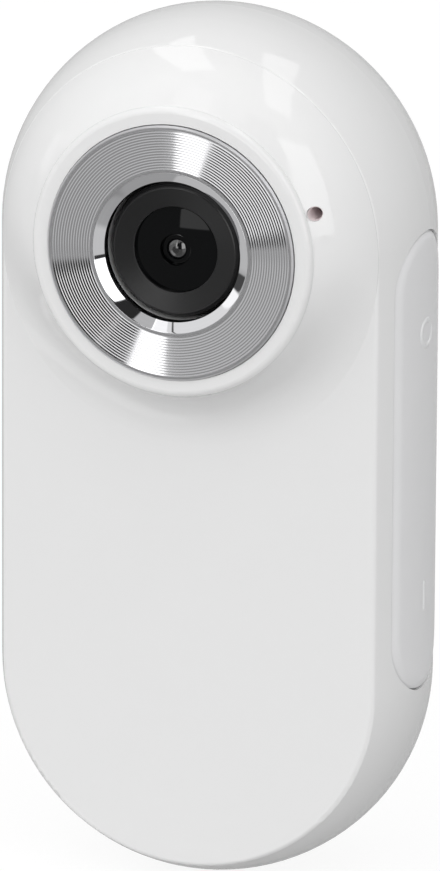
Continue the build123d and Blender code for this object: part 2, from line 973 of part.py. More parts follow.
def side_switch(z):
    """Side-press switch at the board's edge, with a hole for its plunger."""
    with BuildPart() as switch:
        add(
            block(
                switch_width,
                switch_length,
                board_depth,
                board_depth + switch_height,
                switch_face_x - switch_width / 2,
                z,
            )
        )
        hole_run = plunger_engagement + key_travel + slip_gap
        add(
            block(
                hole_run,
                plunger_length + 2 * running_gap,
                switch_depth - plunger_height / 2 - running_gap,
                switch_depth + plunger_height / 2 + running_gap,
                switch_face_x - hole_run / 2,
                z,
            ),
            mode=Mode.SUBTRACT,
        )
    return switch


def switch_plunger(z):
    """Plunger of a side switch, which reaches the back of the key's flange."""
    inner_x = switch_face_x - plunger_engagement
    with BuildPart() as plunger:
        add(
            block(
                key_back_x - inner_x,
                plunger_length,
                switch_depth - plunger_height / 2,
                switch_depth + plunger_height / 2,
                (key_back_x + inner_x) / 2,
                z,
            )
        )
    return plunger


def key(z):
    """Key in the thick side wall, kept in by a flange on its inner end."""
    with BuildPart() as button:
        add(side_slot(key_length, key_width, flap_centre_depth, z, key_back_x, key_face_x))
        crown = button.faces().sort_by(Axis.X)[-1]
        fillet(crown.edges(), radius=key_round)
        add(
            side_slot(
                key_length + 2 * key_flange,
                key_width + 2 * key_flange,
                flap_centre_depth,
                z,
                key_back_x,
                key_back_x + key_flange_thickness,
            )
        )
    return button


for name, z in (("power", power_key_z), ("record", record_key_z)):
    save(side_switch(z), f"{name}_switch")
    save(switch_plunger(z), f"{name}_plunger")
    save(key(z), f"{name}_key")

# Microphone capsule in a soft boot behind its hole, with two leads to the board
mic_back = mic_top - mic_boot_wall - mic_height
with BuildPart() as microphone:
    add(disc(mic_radius, mic_back, mic_top - mic_boot_wall, mic_hole_x, mic_hole_z))
save(microphone, "microphone")

with BuildPart() as mic_boot:
    add(disc(mic_radius + mic_boot_wall - fit_gap, inner_front, mic_top, mic_hole_x, mic_hole_z))
    add(
        disc(mic_radius + fit_gap, inner_front, mic_top - mic_boot_wall, mic_hole_x, mic_hole_z),
        mode=Mode.SUBTRACT,
    )
    add(disc(mic_hole_radius, inner_front, mic_top, mic_hole_x, mic_hole_z), mode=Mode.SUBTRACT)
save(mic_boot, "mic_boot")

with BuildPart() as mic_leads:
    for z in (mic_hole_z - mic_lead_spread, mic_hole_z):
        add(disc(mic_lead_radius, board_depth, mic_back, mic_hole_x - mic_lead_inset, z))
save(mic_leads, "mic_leads")

# Battery on a foam pad behind the front face, with two leads that turn down to the board
battery_front = inner_front - battery_pad_thickness
battery_back = battery_front - battery_thickness
battery_width = battery_right - battery_left
battery_length = battery_top - battery_bottom
battery_x = (battery_left + battery_right) / 2
battery_z = (battery_top + battery_bottom) / 2
with BuildPart() as battery:
    add(
        block(
            battery_width,
            battery_length,
            battery_back,
            battery_front,
            battery_x,
            battery_z,
            battery_corner,
        )
    )
    fillet(battery.edges().filter_by(Plane.XZ), radius=battery_round)
save(battery, "battery")

with BuildPart() as battery_pad:
    add(
        block(
            battery_width - 2 * battery_corner,
            battery_length - 2 * battery_corner,
            battery_front,
            inner_front,
            battery_x,
            battery_z,
            battery_corner,
        )
    )
save(battery_pad, "battery_pad")

lead_x = battery_left + lead_inset
lead_depth = battery_back + battery_thickness / 2
lead_bend = lead_bend_share * min(lead_rise, lead_depth - board_depth)
with BuildPart() as battery_leads:
    for x in (lead_x, lead_x + lead_spacing):
        with BuildLine() as lead_route:
            FilletPolyline(
                (x, seam_y - lead_depth, battery_top),
                (x, seam_y - lead_depth, battery_top + lead_rise),
                (x, seam_y - board_depth, battery_top + lead_rise),
                radius=lead_bend,
            )
        with BuildSketch(Plane(origin=lead_route.line @ 0, z_dir=(0, 0, 1))):
            Circle(lead_radius)
        sweep(path=lead_route.line)
save(battery_leads, "battery_leads")

# Soft flap: one strip over keys and port, held by its top end and hinged below it.
# Its face follows the crown of the case's side
flap_back_x = flap_floor_x + seat_gap
mark_face_x = flap_face_x + mark_height
with BuildPart() as flap_strip:
    add(side_slot(flap_length, flap_width, flap_centre_depth, 0, flap_back_x, mark_face_x))
    add(crowned_side(flap_face_x), mode=Mode.INTERSECT)
    crown_faces = flap_strip.faces().sort_by(Axis.X)[-2:]
    rim = [edge for edge in crown_faces.edges() if abs(edge.center().Y - seam_y) > fit_gap]
    fillet(rim, radius=flap_round)

with BuildPart() as raised_marks:
    with BuildSketch(from_side(mark_face_x)):
        with Locations((flap_centre_depth, power_key_z)):
            Circle(mark_length / 2)
            Circle(mark_length / 2 - mark_width, mode=Mode.SUBTRACT)
        with Locations((flap_centre_depth, record_key_z)):
            SlotOverall(mark_length, mark_width, rotation=90)
    extrude(amount=mark_height + flap_thickness / 2)
    add(crowned_side(mark_face_x), mode=Mode.INTERSECT)

with BuildPart() as side_cover:
    add(flap_strip.part)
    split(bisect_by=Plane.XY.offset(flap_hinge_z - hinge_gap / 2), keep=Keep.BOTTOM)
    plug_inset = port_wall + soft_gap
    add(
        side_slot(
            port_length - 2 * plug_inset,
            port_height - 2 * plug_inset,
            port_depth,
            0,
            flap_back_x - port_plug_length,
            flap_back_x,
        )
    )
    add(raised_marks.part)
save(side_cover, "side_cover")

with BuildPart() as cover_anchor:
    add(flap_strip.part)
    split(bisect_by=Plane.XY.offset(flap_hinge_z + hinge_gap / 2), keep=Keep.TOP)
    stem_head_x = flap_wall_x - running_gap
    with BuildSketch(from_side(flap_back_x)):
        with Locations((flap_centre_depth, anchor_z)):
            Circle(anchor_stem_radius)
    extrude(amount=flap_back_x - stem_head_x)
    with BuildSketch(from_side(stem_head_x)):
        with Locations((flap_centre_depth, anchor_z)):
            Circle(anchor_stem_head_radius)
    extrude(amount=anchor_stem_head_length)
save(cover_anchor, "cover_anchor")


def knuckle(base_depth, height, low_x, high_x):
    """Ear round the clip's pin between two X places, which stands on a plate at this depth."""
    with BuildPart() as ear:
        with BuildSketch(from_side(high_x)):
            with Locations(((base_depth + pin_depth) / 2, pin_z)):
                Rectangle(abs(base_depth - pin_depth), height)
            with Locations((pin_depth, pin_z)):
                Circle(height / 2)
        extrude(amount=high_x - low_x)
    return ear.part


def pin_hole(clearance, reach):
    """Cylinder round the pin's axis, this much larger than the pin."""
    with BuildPart() as hole:
        with BuildSketch(from_side(reach)):
            with Locations((pin_depth, pin_z)):
                Circle(pin_radius + clearance)
        extrude(amount=2 * reach)
    return hole.part


# Bracket: a plate screwed to the back shell, with two ears for the pin
bracket_front = -back_depth
bracket_back = -(back_depth + bracket_plate)
bracket_ear_outer = bracket_ear_inner + bracket_ear_thickness
with BuildPart() as clip_bracket:
    add(
        block(
            2 * bracket_ear_outer,
            bracket_top - bracket_bottom,
            bracket_back,
            bracket_front,
            0,
            (bracket_top + bracket_bottom) / 2,
            bracket_corner,
        )
    )
    for low_x in (bracket_ear_inner, -bracket_ear_outer):
        add(knuckle(bracket_back, 2 * knuckle_radius, low_x, low_x + bracket_ear_thickness))
    add(pin_hole(fit_gap, bracket_ear_outer), mode=Mode.SUBTRACT)
    for x, z in bracket_screw_places:
        add(disc(shell_screw_hole, bracket_back, bracket_front, x, z), mode=Mode.SUBTRACT)
        add(disc(screw_head_radius + slip_gap, bracket_back, bracket_screw_seat, x, z), mode=Mode.SUBTRACT)
save(clip_bracket, "clip_bracket")

# Clip: a long arm with a thumb lever above its ears and a tooth at its tip
clip_ear_outer = clip_ear_inner + clip_ear_thickness
clip_middle_z = (clip_top + clip_bottom) / 2
tooth_tip_depth = -(back_depth + soft_gap)
with BuildPart() as spring_clip:
    add(
        block(
            clip_width,
            clip_top - clip_bottom,
            arm_outer_depth,
            arm_inner_depth,
            0,
            clip_middle_z,
            clip_corner,
        )
    )
    fillet(spring_clip.faces().sort_by(Axis.Y)[-1].edges(), radius=clip_round)
    for low_x in (clip_ear_inner, -clip_ear_outer):
        add(knuckle(arm_inner_depth, 2 * knuckle_radius, low_x, low_x + clip_ear_thickness))
    add(pin_hole(running_gap, clip_ear_outer), mode=Mode.SUBTRACT)
    add(
        block(
            clip_width - 2 * clip_corner,
            tooth_length,
            arm_inner_depth,
            tooth_tip_depth,
            0,
            clip_bottom + tooth_length / 2,
            tooth_corner,
        )
    )
    pad_middle_z = (pad_top + pad_bottom) / 2
    add(
        block(
            pad_width + 2 * fit_gap,
            pad_top - pad_bottom + 2 * fit_gap,
            arm_inner_depth - pad_sink,
            arm_inner_depth,
            0,
            pad_middle_z,
            pad_corner + fit_gap,
        ),
        mode=Mode.SUBTRACT,
    )
    with BuildSketch(from_side((clip_width - 2 * clip_corner) / 2)):
        for rib in range(grip_rib_count):
            with Locations((arm_outer_depth, clip_top - clip_corner / 2 - (rib + 0.5) * grip_rib_pitch)):
                Circle(grip_rib_radius)
    extrude(amount=clip_width - 2 * clip_corner)
save(spring_clip, "spring_clip")

with BuildPart() as clip_pad:
    add(
        block(
            pad_width,
            pad_top - pad_bottom,
            arm_inner_depth - pad_sink,
            arm_inner_depth + pad_proud,
            0,
            pad_middle_z,
            pad_corner,
        )
    )
save(clip_pad, "clip_pad")

with BuildPart() as clip_pin:
    with BuildSketch(from_side(pin_half_length)):
        with Locations((pin_depth, pin_z)):
            Circle(pin_radius)
    extrude(amount=2 * pin_half_length)
    chamfer(clip_pin.edges().filter_by(GeomType.CIRCLE), length=pin_chamfer)
save(clip_pin, "clip_pin")


def biarc(start, start_way, end, end_way):
    """Middle point of the two arcs that leave start and reach end along unit vectors."""
    chord = end - start
    both = start_way + end_way
    turn = 2 * (1 - start_way.dot(end_way))
    along = chord.dot(both)
    reach = (sqrt(along * along + turn * chord.dot(chord)) - along) / turn
    return (start + start_way * reach + end - end_way * reach) / 2


def coil_point(turn):
    """Point of the spring's wire after this many turns, from its leg on the case's side."""
    angle = 2 * pi * turn
    return Vector(
        (turn - spring_turns / 2) * spring_pitch,
        seam_y - pin_depth - spring_mean_radius * cos(angle),
        pin_z - spring_mean_radius * sin(angle),
    )


def coil_way(turn):
    """Unit vector along the spring's wire there."""
    angle = 2 * pi * turn
    around = 2 * pi * spring_mean_radius
    way = Vector(spring_pitch, around * sin(angle), -around * cos(angle))
    return way.normalized()


# Torsion spring: turns round the pin and two legs that push the lever off the plate
quarters = round(4 * spring_turns)
with BuildPart() as clip_spring:
    with BuildLine() as wire_route:
        Line(coil_point(0) - coil_way(0) * spring_leg, coil_point(0))
        for quarter in range(quarters):
            start, end = coil_point(quarter / 4), coil_point((quarter + 1) / 4)
            start_way, end_way = coil_way(quarter / 4), coil_way((quarter + 1) / 4)
            middle = biarc(start, start_way, end, end_way)
            TangentArc(start, middle, tangent=start_way)
            TangentArc(end, middle, tangent=end_way * -1)
        Line(coil_point(spring_turns), coil_point(spring_turns) + coil_way(spring_turns) * spring_leg)
    wire = wire_route.wires()[0]
    with BuildSketch(Plane(origin=wire @ 0, z_dir=wire % 0)):
        Circle(spring_wire / 2)
    sweep(path=wire)
save(clip_spring, "clip_spring")
coil_steps = 48
coil_points = [coil_point(step / coil_steps) for step in range(round(coil_steps * spring_turns) + 1)]
coil_apart = min(
    (far - near).length
    for place, near in enumerate(coil_points)
    for far in coil_points[place + coil_steps // 2 :]
)
print(f"clip spring: least gap between turns {coil_apart - spring_wire:.2f} mm")
print(f"battery leads: bend radius {lead_bend:.2f} mm")
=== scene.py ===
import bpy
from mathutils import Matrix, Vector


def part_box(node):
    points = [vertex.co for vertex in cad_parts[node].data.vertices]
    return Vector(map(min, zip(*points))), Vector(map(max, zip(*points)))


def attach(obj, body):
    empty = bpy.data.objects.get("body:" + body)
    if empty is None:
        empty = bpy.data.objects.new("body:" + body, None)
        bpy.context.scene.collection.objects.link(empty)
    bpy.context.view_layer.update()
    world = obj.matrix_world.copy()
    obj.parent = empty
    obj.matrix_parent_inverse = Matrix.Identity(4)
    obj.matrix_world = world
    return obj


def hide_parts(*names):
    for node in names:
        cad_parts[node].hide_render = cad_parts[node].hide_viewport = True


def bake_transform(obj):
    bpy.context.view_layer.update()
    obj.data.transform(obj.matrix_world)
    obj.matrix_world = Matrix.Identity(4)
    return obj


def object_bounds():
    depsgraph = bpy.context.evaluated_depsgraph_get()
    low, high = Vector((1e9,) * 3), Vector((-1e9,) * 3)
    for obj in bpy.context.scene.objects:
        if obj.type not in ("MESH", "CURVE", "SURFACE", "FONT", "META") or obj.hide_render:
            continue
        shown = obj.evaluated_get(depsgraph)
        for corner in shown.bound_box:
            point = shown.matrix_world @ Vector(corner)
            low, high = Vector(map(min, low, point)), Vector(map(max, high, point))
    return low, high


bl_info = {
    "name": "Pet Collar Camera",
    "version": (1, 0, 0),
    "blender": (4, 5, 0),
    "location": "3D View > Sidebar > Collar Camera",
    "description": "Small camera for a pet's collar: glossy case, turned ring, lens, flap and clip",
    "category": "Object",
}

from math import cos, pi, radians, sin, tan

import bmesh
import bpy
import numpy as np
from bpy.props import FloatProperty, FloatVectorProperty, IntProperty, PointerProperty
from mathutils import Matrix, Vector

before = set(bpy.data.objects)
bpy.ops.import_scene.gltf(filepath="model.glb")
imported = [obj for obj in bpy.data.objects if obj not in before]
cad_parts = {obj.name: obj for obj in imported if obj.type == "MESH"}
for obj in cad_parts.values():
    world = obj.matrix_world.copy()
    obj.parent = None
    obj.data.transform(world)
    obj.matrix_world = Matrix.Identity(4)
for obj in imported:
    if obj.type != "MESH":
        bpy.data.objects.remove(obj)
cad_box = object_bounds()

MM = 0.001
MICRON = 0.001 * MM
RIGHT = Vector((1, 0, 0))
FRONT = Vector((0, -1, 0))
SEAM_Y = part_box("front_shell")[1].y


def linear(hex_colour):
    """Linear RGBA from an sRGB hex value: each channel goes through the sRGB curve."""
    channels = [int(hex_colour[place : place + 2], 16) / 255 for place in (1, 3, 5)]
    return [c / 12.92 if c <= 0.04045 else ((c + 0.055) / 1.055) ** 2.4 for c in channels] + [1.0]


def size(name, description, millimetres):
    """Length property whose default is given in millimetres."""
    return FloatProperty(
        name=name, description=description, default=millimetres * MM, unit="LENGTH", precision=5
    )


def angle(name, description, degrees):
    """Angle property whose default is given in degrees."""
    return FloatProperty(
        name=name, description=description, default=radians(degrees), unit="ROTATION"
    )


def share(name, description, default):
    """Share between 0 and 1."""
    return FloatProperty(
        name=name, description=description, default=default, min=0, max=1, subtype="FACTOR"
    )


def number(name, description, default):
    """Plain number without a limit."""
    return FloatProperty(name=name, description=description, default=default)


def colour(name, description, hex_colour):
    """Colour property whose default is an sRGB hex value."""
    return FloatVectorProperty(
        name=name,
        description=description,
        default=linear(hex_colour),
        size=4,
        min=0,
        max=1,
        subtype="COLOR",
    )


class ShellSettings(bpy.types.PropertyGroup):
    """Glossy case."""

    shell_colour: colour("Shell colour", "White of the moulded case", "#EFEFEF")
    shell_roughness: share("Shell roughness", "Roughness of the polished case", 0.07)
    peel_size: size("Ripple size", "Distance between the faint ripples of the moulding", 2.5)
    boot_colour: colour("Microphone boot colour", "Soft boot that lines the hole", "#E0D2D3")
    boot_wall: size("Boot wall", "Wall of the boot's nozzle in the hole", 0.07)
    hole_radius: size("Hole radius", "Radius of the microphone hole", 0.5)
    hole_angle: angle("Hole angle", "Place of the hole, up from the lens's right", 18.87)
    head_slope: angle("Head slope", "Slope of the head's skin at the hole", 25.0)
    nozzle_drop: size("Nozzle drop", "How far the boot stops below the head's lip", 0.9)
    nozzle_round: size("Nozzle rounding", "Chamfer of the nozzle's two edges", 0.02)
    nozzle_gap: size("Nozzle gap", "Room between the nozzle and its hole", 0.01)
    can_gap: size("Can gap", "Room between the boot and the microphone in it", 0.02)


class RingSettings(bpy.types.PropertyGroup):
    """Turned metal ring round the lens."""

    ring_colour: colour("Ring colour", "Bare turned aluminium", "#E0E0E2")
    ring_roughness: share("Turned roughness", "Roughness along the grooves", 0.09)
    polish_roughness: share("Polished roughness", "Roughness of the bevel", 0.03)
    mouth_radius: size("Mouth radius", "Inner edge of the flat face", 5.43)
    throat_radius: size("Throat radius", "Narrow end of the polished bevel", 4.8)
    bevel_swell: size("Bevel swell", "How far the bevel's middle swells", 0.003)
    bevel_depth: size("Bevel depth", "Depth of the polished bevel", 0.54)
    mouth_round: size("Mouth rounding", "Rounding between the face and the bevel", 0.05)
    rim_chamfer: size("Rim chamfer", "Chamfer of the ring's outer edge", 0.12)
    band_crown: size("Band crown", "Rise of the two plain bands beside the grooves", 0.006)
    band_roughness: share("Band roughness", "Roughness of the two plain bands", 0.35)
    groove_start: size("First groove", "Radius where the grooves start", 5.7)
    groove_end: size("Last groove", "Radius where the grooves end", 8.4)
    groove_count: IntProperty(name="Grooves", description="Number of grooves", default=15)
    groove_slope: angle("Groove slope", "Slope of the sides of each groove", 17.5)
    valley: share("Valley", "Place of each groove's lowest line, from the lens outward", 0.43)
    line_spacing: size("Tool mark spacing", "Distance between the finest tool marks", 0.03)


class LensSettings(bpy.types.PropertyGroup):
    """Barrel and glass."""

    barrel_colour: colour("Barrel colour", "Matt black anodised barrel", "#161617")
    bore_radius: size("Bore radius", "Bore that holds the glass", 3.2)
    body_radius: size("Body radius", "Threaded body behind the head", 4.0)
    head_length: size("Head length", "Length of the wide head", 2.6)
    face_radius: size("Face radius", "Outer edge of the dished face", 4.22)
    step: size("Step", "Width of each of the three steps round the face", 0.1)
    step_fall: size("Step fall", "How far each step lies behind the one within it", 0.11)
    step_round: size("Step rounding", "Rounding of each step's edge", 0.03)
    lip_width: size("Lip width", "Width of the bevelled lip round the face", 0.1)
    lip_drop: size("Lip drop", "How far that lip falls", 0.06)
    mouth_bevel: size("Mouth bevel", "Bevel of the edge where the glass shows", 0.04)
    dish: size("Dish", "Depth of the dished face", 0.25)
    opening_radius: size("Opening radius", "Radius where the glass shows", 2.94)
    front_bulge: size("Front bulge", "Rise of the front glass at its middle", 0.3)
    front_hollow: size("Front hollow", "Hollow in the back of the front glass", 0.4)
    front_reach: size("Front reach", "Radius of the curved part of the front glass", 2.85)
    eye_radius: size("Eye radius", "Radius of the small dome in the front glass", 0.72)
    eye_rise: size("Eye rise", "Rise of the small dome", 0.3)
    flange_radius: size("Flange radius", "Edge of the flat round the small dome", 1.03)
    flange_round: size("Flange rounding", "Rounding of that edge", 0.08)
    flange_drop: size("Flange drop", "How far the flat lies behind the border", 0.3)
    moat: size("Moat", "Depth of the moat round the flat", 0.12)
    # The border's black is painted shade: the front glass is drawn opaque and near black where the dark
    # inside of the lens would show through clear glass
    well_radius: size("Well radius", "Inner edge of the black border", 1.08)
    inner_radius: size("Inner lens radius", "Radius of the second glass's domes", 1.1)
    inner_bulge: size("Inner lens bulge", "Rise of its front", 0.4)
    inner_back: size("Inner lens back", "Rise of its back", 0.2)
    # This colour is painted shade: a near-black that covers all of the front glass and a quarter of the
    # inner glasses, for the dark inside of the lens
    glass_shade_colour: colour("Glass colour", "Dark tint of the coated glass", "#070809")
    glass_cover: share("Glass cover", "How much the glass hides what lies behind it", 0.25)
    stop_radius: size("Stop radius", "Hole of the aperture stop", 1.15)


class FlapSettings(bpy.types.PropertyGroup):
    """Soft flap on the right side."""

    flap_colour: colour("Flap colour", "Soft satin silicone", "#EEEEEF")
    thickness: size("Flap thickness", "From the back to the middle of the face", 1.3)
    fringe: size("Fringe", "How far the lip reaches towards the edge of its recess", 0.22)
    edge_round: size("Edge rounding", "Rounding of the flap's outer edge", 0.08)
    lip_width: size("Lip width", "Width of the border that falls towards the edge", 0.8)
    lip_drop: size("Lip drop", "How far the border falls", 0.26)
    skin: size("Skin", "Chamfer of the back, and how far plug and stud reach in", 0.05)
    front_crown: size("Front crown", "Radius of the case's side in front of the seam", 13.2)
    back_crown: size("Back crown", "Radius of the case's side behind the seam", 9.51)
    plug_length: size("Plug length", "Longer side of the port plug", 7.74)
    plug_width: size("Plug width", "Shorter side of the port plug", 2.06)
    plug_wall: size("Plug wall", "Wall of the hollow port plug", 0.5)
    plug_floor: size("Plug floor", "Thickness between the flap's back and the hollow", 0.3)
    plug_lead: size("Plug lead", "How far the port lies in front of the seam", 1.33)
    stud_radius: size("Stud radius", "Stem that holds the flap's top", 0.9)
    stud_head: size("Stud head", "Radius of the stem's head", 1.5)
    stud_head_length: size("Stud head length", "Length of the stem's head", 0.6)
    rim: size("Rim", "Chamfer of the ends of the plug and the stud's head", 0.15)
    mark_size: size("Mark size", "Diameter of the ring mark and length of the bar mark", 2.2)
    mark_line: size("Mark line", "Width of the raised lines", 0.45)
    mark_room: size("Mark room", "Room above the flap's face for the raised marks", 0.12)
    mark_rise: size("Mark rise", "How far the raised marks stand up", 0.075)
    mark_round: size("Mark rounding", "Rounding of the raised lines' shoulders", 0.18)
    ring_mark_z: size("Ring mark place", "Height of the ring mark over the middle", 8.9)
    bar_mark_z: size("Bar mark place", "Height of the bar mark over the middle", -9.4)
    bend_run: size("Bend run", "Length of flap that bends at the hinge, each way", 1.3)


class ClipSettings(bpy.types.PropertyGroup):
    """Clip, pad and spring behind the case."""

    clip_colour: colour("Clip colour", "Moulded clip", "#E0E0DF")
    pad_colour: colour("Pad colour", "Grippy rubber pad", "#8E8E8C")
    rib_pitch: size("Rib pitch", "Distance between the pad's ribs", 1.2)
    rib_height: size("Rib height", "Height of the pad's ribs", 0.09)
    pad_corner: size("Pad corner", "Radius of the pad's corners", 1.0)
    pad_dip: size("Pad dip", "How far the ribs' feet lie behind the pad's face", 0.11)
    pad_end: size("Pad end", "Run at each end over which the face falls to the back", 0.3)
    pad_row: size("Pad row", "Distance between the rows of the pad's mesh", 0.1)
    wire: size("Wire", "Diameter of the spring's wire", 0.6)
    coil_radius: size("Coil radius", "Radius of the spring to the wire's middle", 1.3)
    coil_pitch: size("Coil pitch", "Distance from turn to turn", 1.02)
    coil_turns: number("Turns", "Turns of the spring", 4.5)
    leg: size("Leg", "Length of each leg of the spring", 3.8)
    coil_hold: size("Coil hold", "How far inside the coil's last point it starts to turn", 0.05)


class StudioSettings(bpy.types.PropertyGroup):
    """Camera, lamps and floor."""

    distance: size("Camera distance", "From the middle of the case to the camera", 647)
    yaw: angle("Yaw", "How far to the right the camera stands", 19.754)
    pitch: angle("Pitch", "How high above the object the camera stands", 15.078)
    roll: angle("Roll", "Turn of the camera about its own axis", 0.321)
    aim_rise: size("Aim", "How far above the middle the camera aims", 0.1285)
    focal: number("Focal length", "In millimetres", 395.3)
    sensor: number("Sensor", "Longer side, in millimetres", 36.0)
    floor_colour: colour("Floor colour", "Plain pale floor", "#FFFFFF")
    floor_bounce: share("Floor bounce", "How much light the floor throws back", 0.56)
    shadow_share: share("Shadow share", "How much of the floor's shade the light makes", 0.14)
    backdrop: number("Backdrop", "How bright the floor shows to the camera", 1.04)
    reach: size("Floor reach", "From the middle of the floor to its edges", 6000)
    gap: size("Floor gap", "Room between the case and the floor", 0.02)
    level: number("Level", "Soft light from the sides", 0.97)
    rise: number("Rise", "How much more comes from above", -0.52)
    fore: number("Fore", "How much more comes from the front", 0.93)
    behind: number("Behind", "Soft lamp behind the case", 4.0)
    glow: number("Glow", "Brightness of the overhead boxes", 1.5)
    room_foot: number("Room's foot", "What metal and glass see at the foot of the room", 0.42)
    room_top: number("Room's top", "What they see at its top", 0.62)
    room_dark: number("Camera's side", "What they see round the camera's mirror image", 0.22)


class CollarCameraSettings(bpy.types.PropertyGroup):
    """All settings of the collar camera."""

    shell: PointerProperty(type=ShellSettings)
    ring: PointerProperty(type=RingSettings)
    lens: PointerProperty(type=LensSettings)
    flap: PointerProperty(type=FlapSettings)
    clip: PointerProperty(type=ClipSettings)
    studio: PointerProperty(type=StudioSettings)


# Shapes


def ease(value, low, high):
    """0 below low, 1 above high and the smooth step 3t^2 - 2t^3 between them."""
    t = np.clip((value - low) / (high - low), 0, 1)
    return t * t * (3 - 2 * t)


def arc(centre, radius, start, end, steps):
    """Points of a circle round centre in the profile's plane, from one angle to another."""
    turn = np.radians(np.linspace(start, end, steps))
    return np.stack([centre[0] + radius * np.cos(turn), centre[1] + radius * np.sin(turn)], axis=1)


def lathe(profile, centre, steps):
    """Grid of a surface of revolution round the lens axis. The profile holds stations of
    (radius, depth), and the point at turn a is
    centre + radius * (sin a, 0, cos a) + depth * (0, -1, 0)."""
    turn = np.linspace(0, 2 * pi, steps, endpoint=False)[:, None]
    radius, depth = profile[None, :, 0], profile[None, :, 1]
    grid = np.stack([radius * np.sin(turn), -depth + 0 * turn, radius * np.cos(turn)], axis=-1)
    return grid + np.array(centre)


def pill_rows(profile, length, width, centre, side_steps, end_steps):
    """Grid of a block with straight sides and round ends, on the right side of the case.
    Each row of the profile is (inset, height): its point is the pill's middle line plus the
    outline's normal times (width / 2 - inset), raised by height along +X."""
    half_run = (length - width) / 2
    run = np.linspace(1, -1, side_steps) * half_run
    turn = np.linspace(0, pi, end_steps)[1:-1]
    along = np.concatenate([0 * run, -np.sin(turn), 0 * run, np.sin(turn)])
    across = np.concatenate([0 * run + 1, np.cos(turn), 0 * run - 1, -np.cos(turn)])
    middle = np.concatenate([run, 0 * turn - half_run, -run, 0 * turn + half_run])
    reach = width / 2 - profile[:, 0][:, None]
    height = profile[:, 1][:, None] + 0 * along
    grid = np.stack([height, -across * reach, middle + along * reach], axis=-1)
    return grid + np.array(centre)


def tube(path, radius, sides):
    """Grid of a round wire along a path near a plane across X. At each point the wire's
    circle lies along n = X - (X.t) t and b = t x n, with t the path's direction, and the
    radius closes as a quarter circle over the wire's own radius at both ends."""
    way = np.gradient(path, axis=0)
    way /= np.linalg.norm(way, axis=1)[:, None]
    side = np.array(RIGHT) - way * way[:, :1]
    side /= np.linalg.norm(side, axis=1)[:, None]
    other = np.cross(way, side)
    run = np.concatenate([[0], np.cumsum(np.linalg.norm(np.diff(path, axis=0), axis=1))])
    from_end = np.minimum(np.minimum(run, run[-1] - run) / radius, 1)
    reach = radius * np.sqrt(np.clip(1 - (1 - from_end) ** 2, 0, 1))
    turn = np.linspace(0, 2 * pi, sides, endpoint=False)[None, :, None]
    ring = side[:, None] * np.cos(turn) + other[:, None] * np.sin(turn)
    return path[:, None] + ring * reach[:, None, None]


def make_piece(name, grid, wrap, sharp_angle, materials):
    """Closed mesh from a grid of points. wrap says which of the two ways joins its ends, and
    points that fall together, as at a pole or a seam, become one."""
    rows, columns = grid.shape[:2]
    index = np.arange(rows * columns).reshape(rows, columns)
    if wrap[0]:
        index = np.vstack([index, index[:1]])
    if wrap[1]:
        index = np.hstack([index, index[:, :1]])
    corners = [index[:-1, :-1], index[1:, :-1], index[1:, 1:], index[:-1, 1:]]
    quads = np.stack(corners, axis=-1).reshape(-1, 4)
    mesh = bpy.data.meshes.new(name)
    mesh.from_pydata(grid.reshape(-1, 3).tolist(), [], quads.tolist())
    work = bmesh.new()
    work.from_mesh(mesh)
    bmesh.ops.remove_doubles(work, verts=work.verts, dist=0.0005 * MM)
    bmesh.ops.recalc_face_normals(work, faces=work.faces)
    work.to_mesh(mesh)
    work.free()
    mesh.shade_smooth()
    mesh.set_sharp_from_angle(angle=radians(sharp_angle))
    for material in materials:
        mesh.materials.append(material)
    piece = bpy.data.objects.new(name, mesh)
    bpy.context.scene.collection.objects.link(piece)
    return piece


def paint_faces(piece, slot, centre, chosen):
    """Give a material slot to the faces that the function picks from an array of their
    distances from the lens axis through centre."""
    mesh = piece.data
    centres = np.empty(len(mesh.polygons) * 3)
    mesh.polygons.foreach_get("center", centres)
    away = centres.reshape(-1, 3) - np.array(centre)
    index = np.zeros(len(mesh.polygons), np.int32)
    mesh.polygons.foreach_get("material_index", index)
    index[chosen(np.hypot(away[:, 0], away[:, 2]))] = slot
    mesh.polygons.foreach_set("material_index", index)


def finish(material, *node_names):
    """Put a material on nodes of the frame."""
    for node_name in node_names:
        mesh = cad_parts[node_name].data
        mesh.materials.clear()
        mesh.materials.append(material)


def settle(piece, body, slot, *node_names):
    """Let a piece ride on a body in place of its nodes. slot is not used."""
    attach(piece, body)
    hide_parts(*node_names)


def round_node(node_name):
    """A round node's middle in the seam plane, its radius, and how far its front and its
    back lie before the seam."""
    low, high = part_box(node_name)
    centre = Vector(((low.x + high.x) / 2, SEAM_Y, (low.z + high.z) / 2))
    return centre, (high.x - low.x) / 2, SEAM_Y - low.y, SEAM_Y - high.y


# Materials


def add_node(tree, kind, sockets=None, **settings):
    """Add a node with its settings. sockets maps a socket's name or number to a value or to
    the output that feeds it."""
    made = tree.nodes.new(kind)
    for name, value in settings.items():
        setattr(made, name, value)
    for name, value in (sockets or {}).items():
        if isinstance(value, bpy.types.NodeSocket):
            tree.links.new(value, made.inputs[name])
        else:
            made.inputs[name].default_value = value
    return made


def new_material(name):
    """Empty material with its node tree and the object's own coordinates."""
    material = bpy.data.materials.new(name)
    material.use_nodes = True
    tree = material.node_tree
    tree.nodes.clear()
    place = add_node(tree, "ShaderNodeTexCoord").outputs["Object"]
    return material, tree, place


def darker(base, part):
    """Colour at a part of its brightness."""
    return [channel * part for channel in base[:3]] + [1.0]


def axis_distance(tree, place, centre):
    """Vector whose X is the distance from the lens axis through centre."""
    shifted = add_node(tree, "ShaderNodeMapping", {"Vector": place, "Location": -Vector(centre)})
    sockets = {0: shifted.outputs["Vector"], 1: (1.0, 0.0, 1.0)}
    flat = add_node(tree, "ShaderNodeVectorMath", sockets, operation="MULTIPLY")
    sockets = {0: flat.outputs["Vector"]}
    length = add_node(tree, "ShaderNodeVectorMath", sockets, operation="LENGTH")
    return add_node(tree, "ShaderNodeCombineXYZ", {"X": length.outputs["Value"]}).outputs["Vector"]


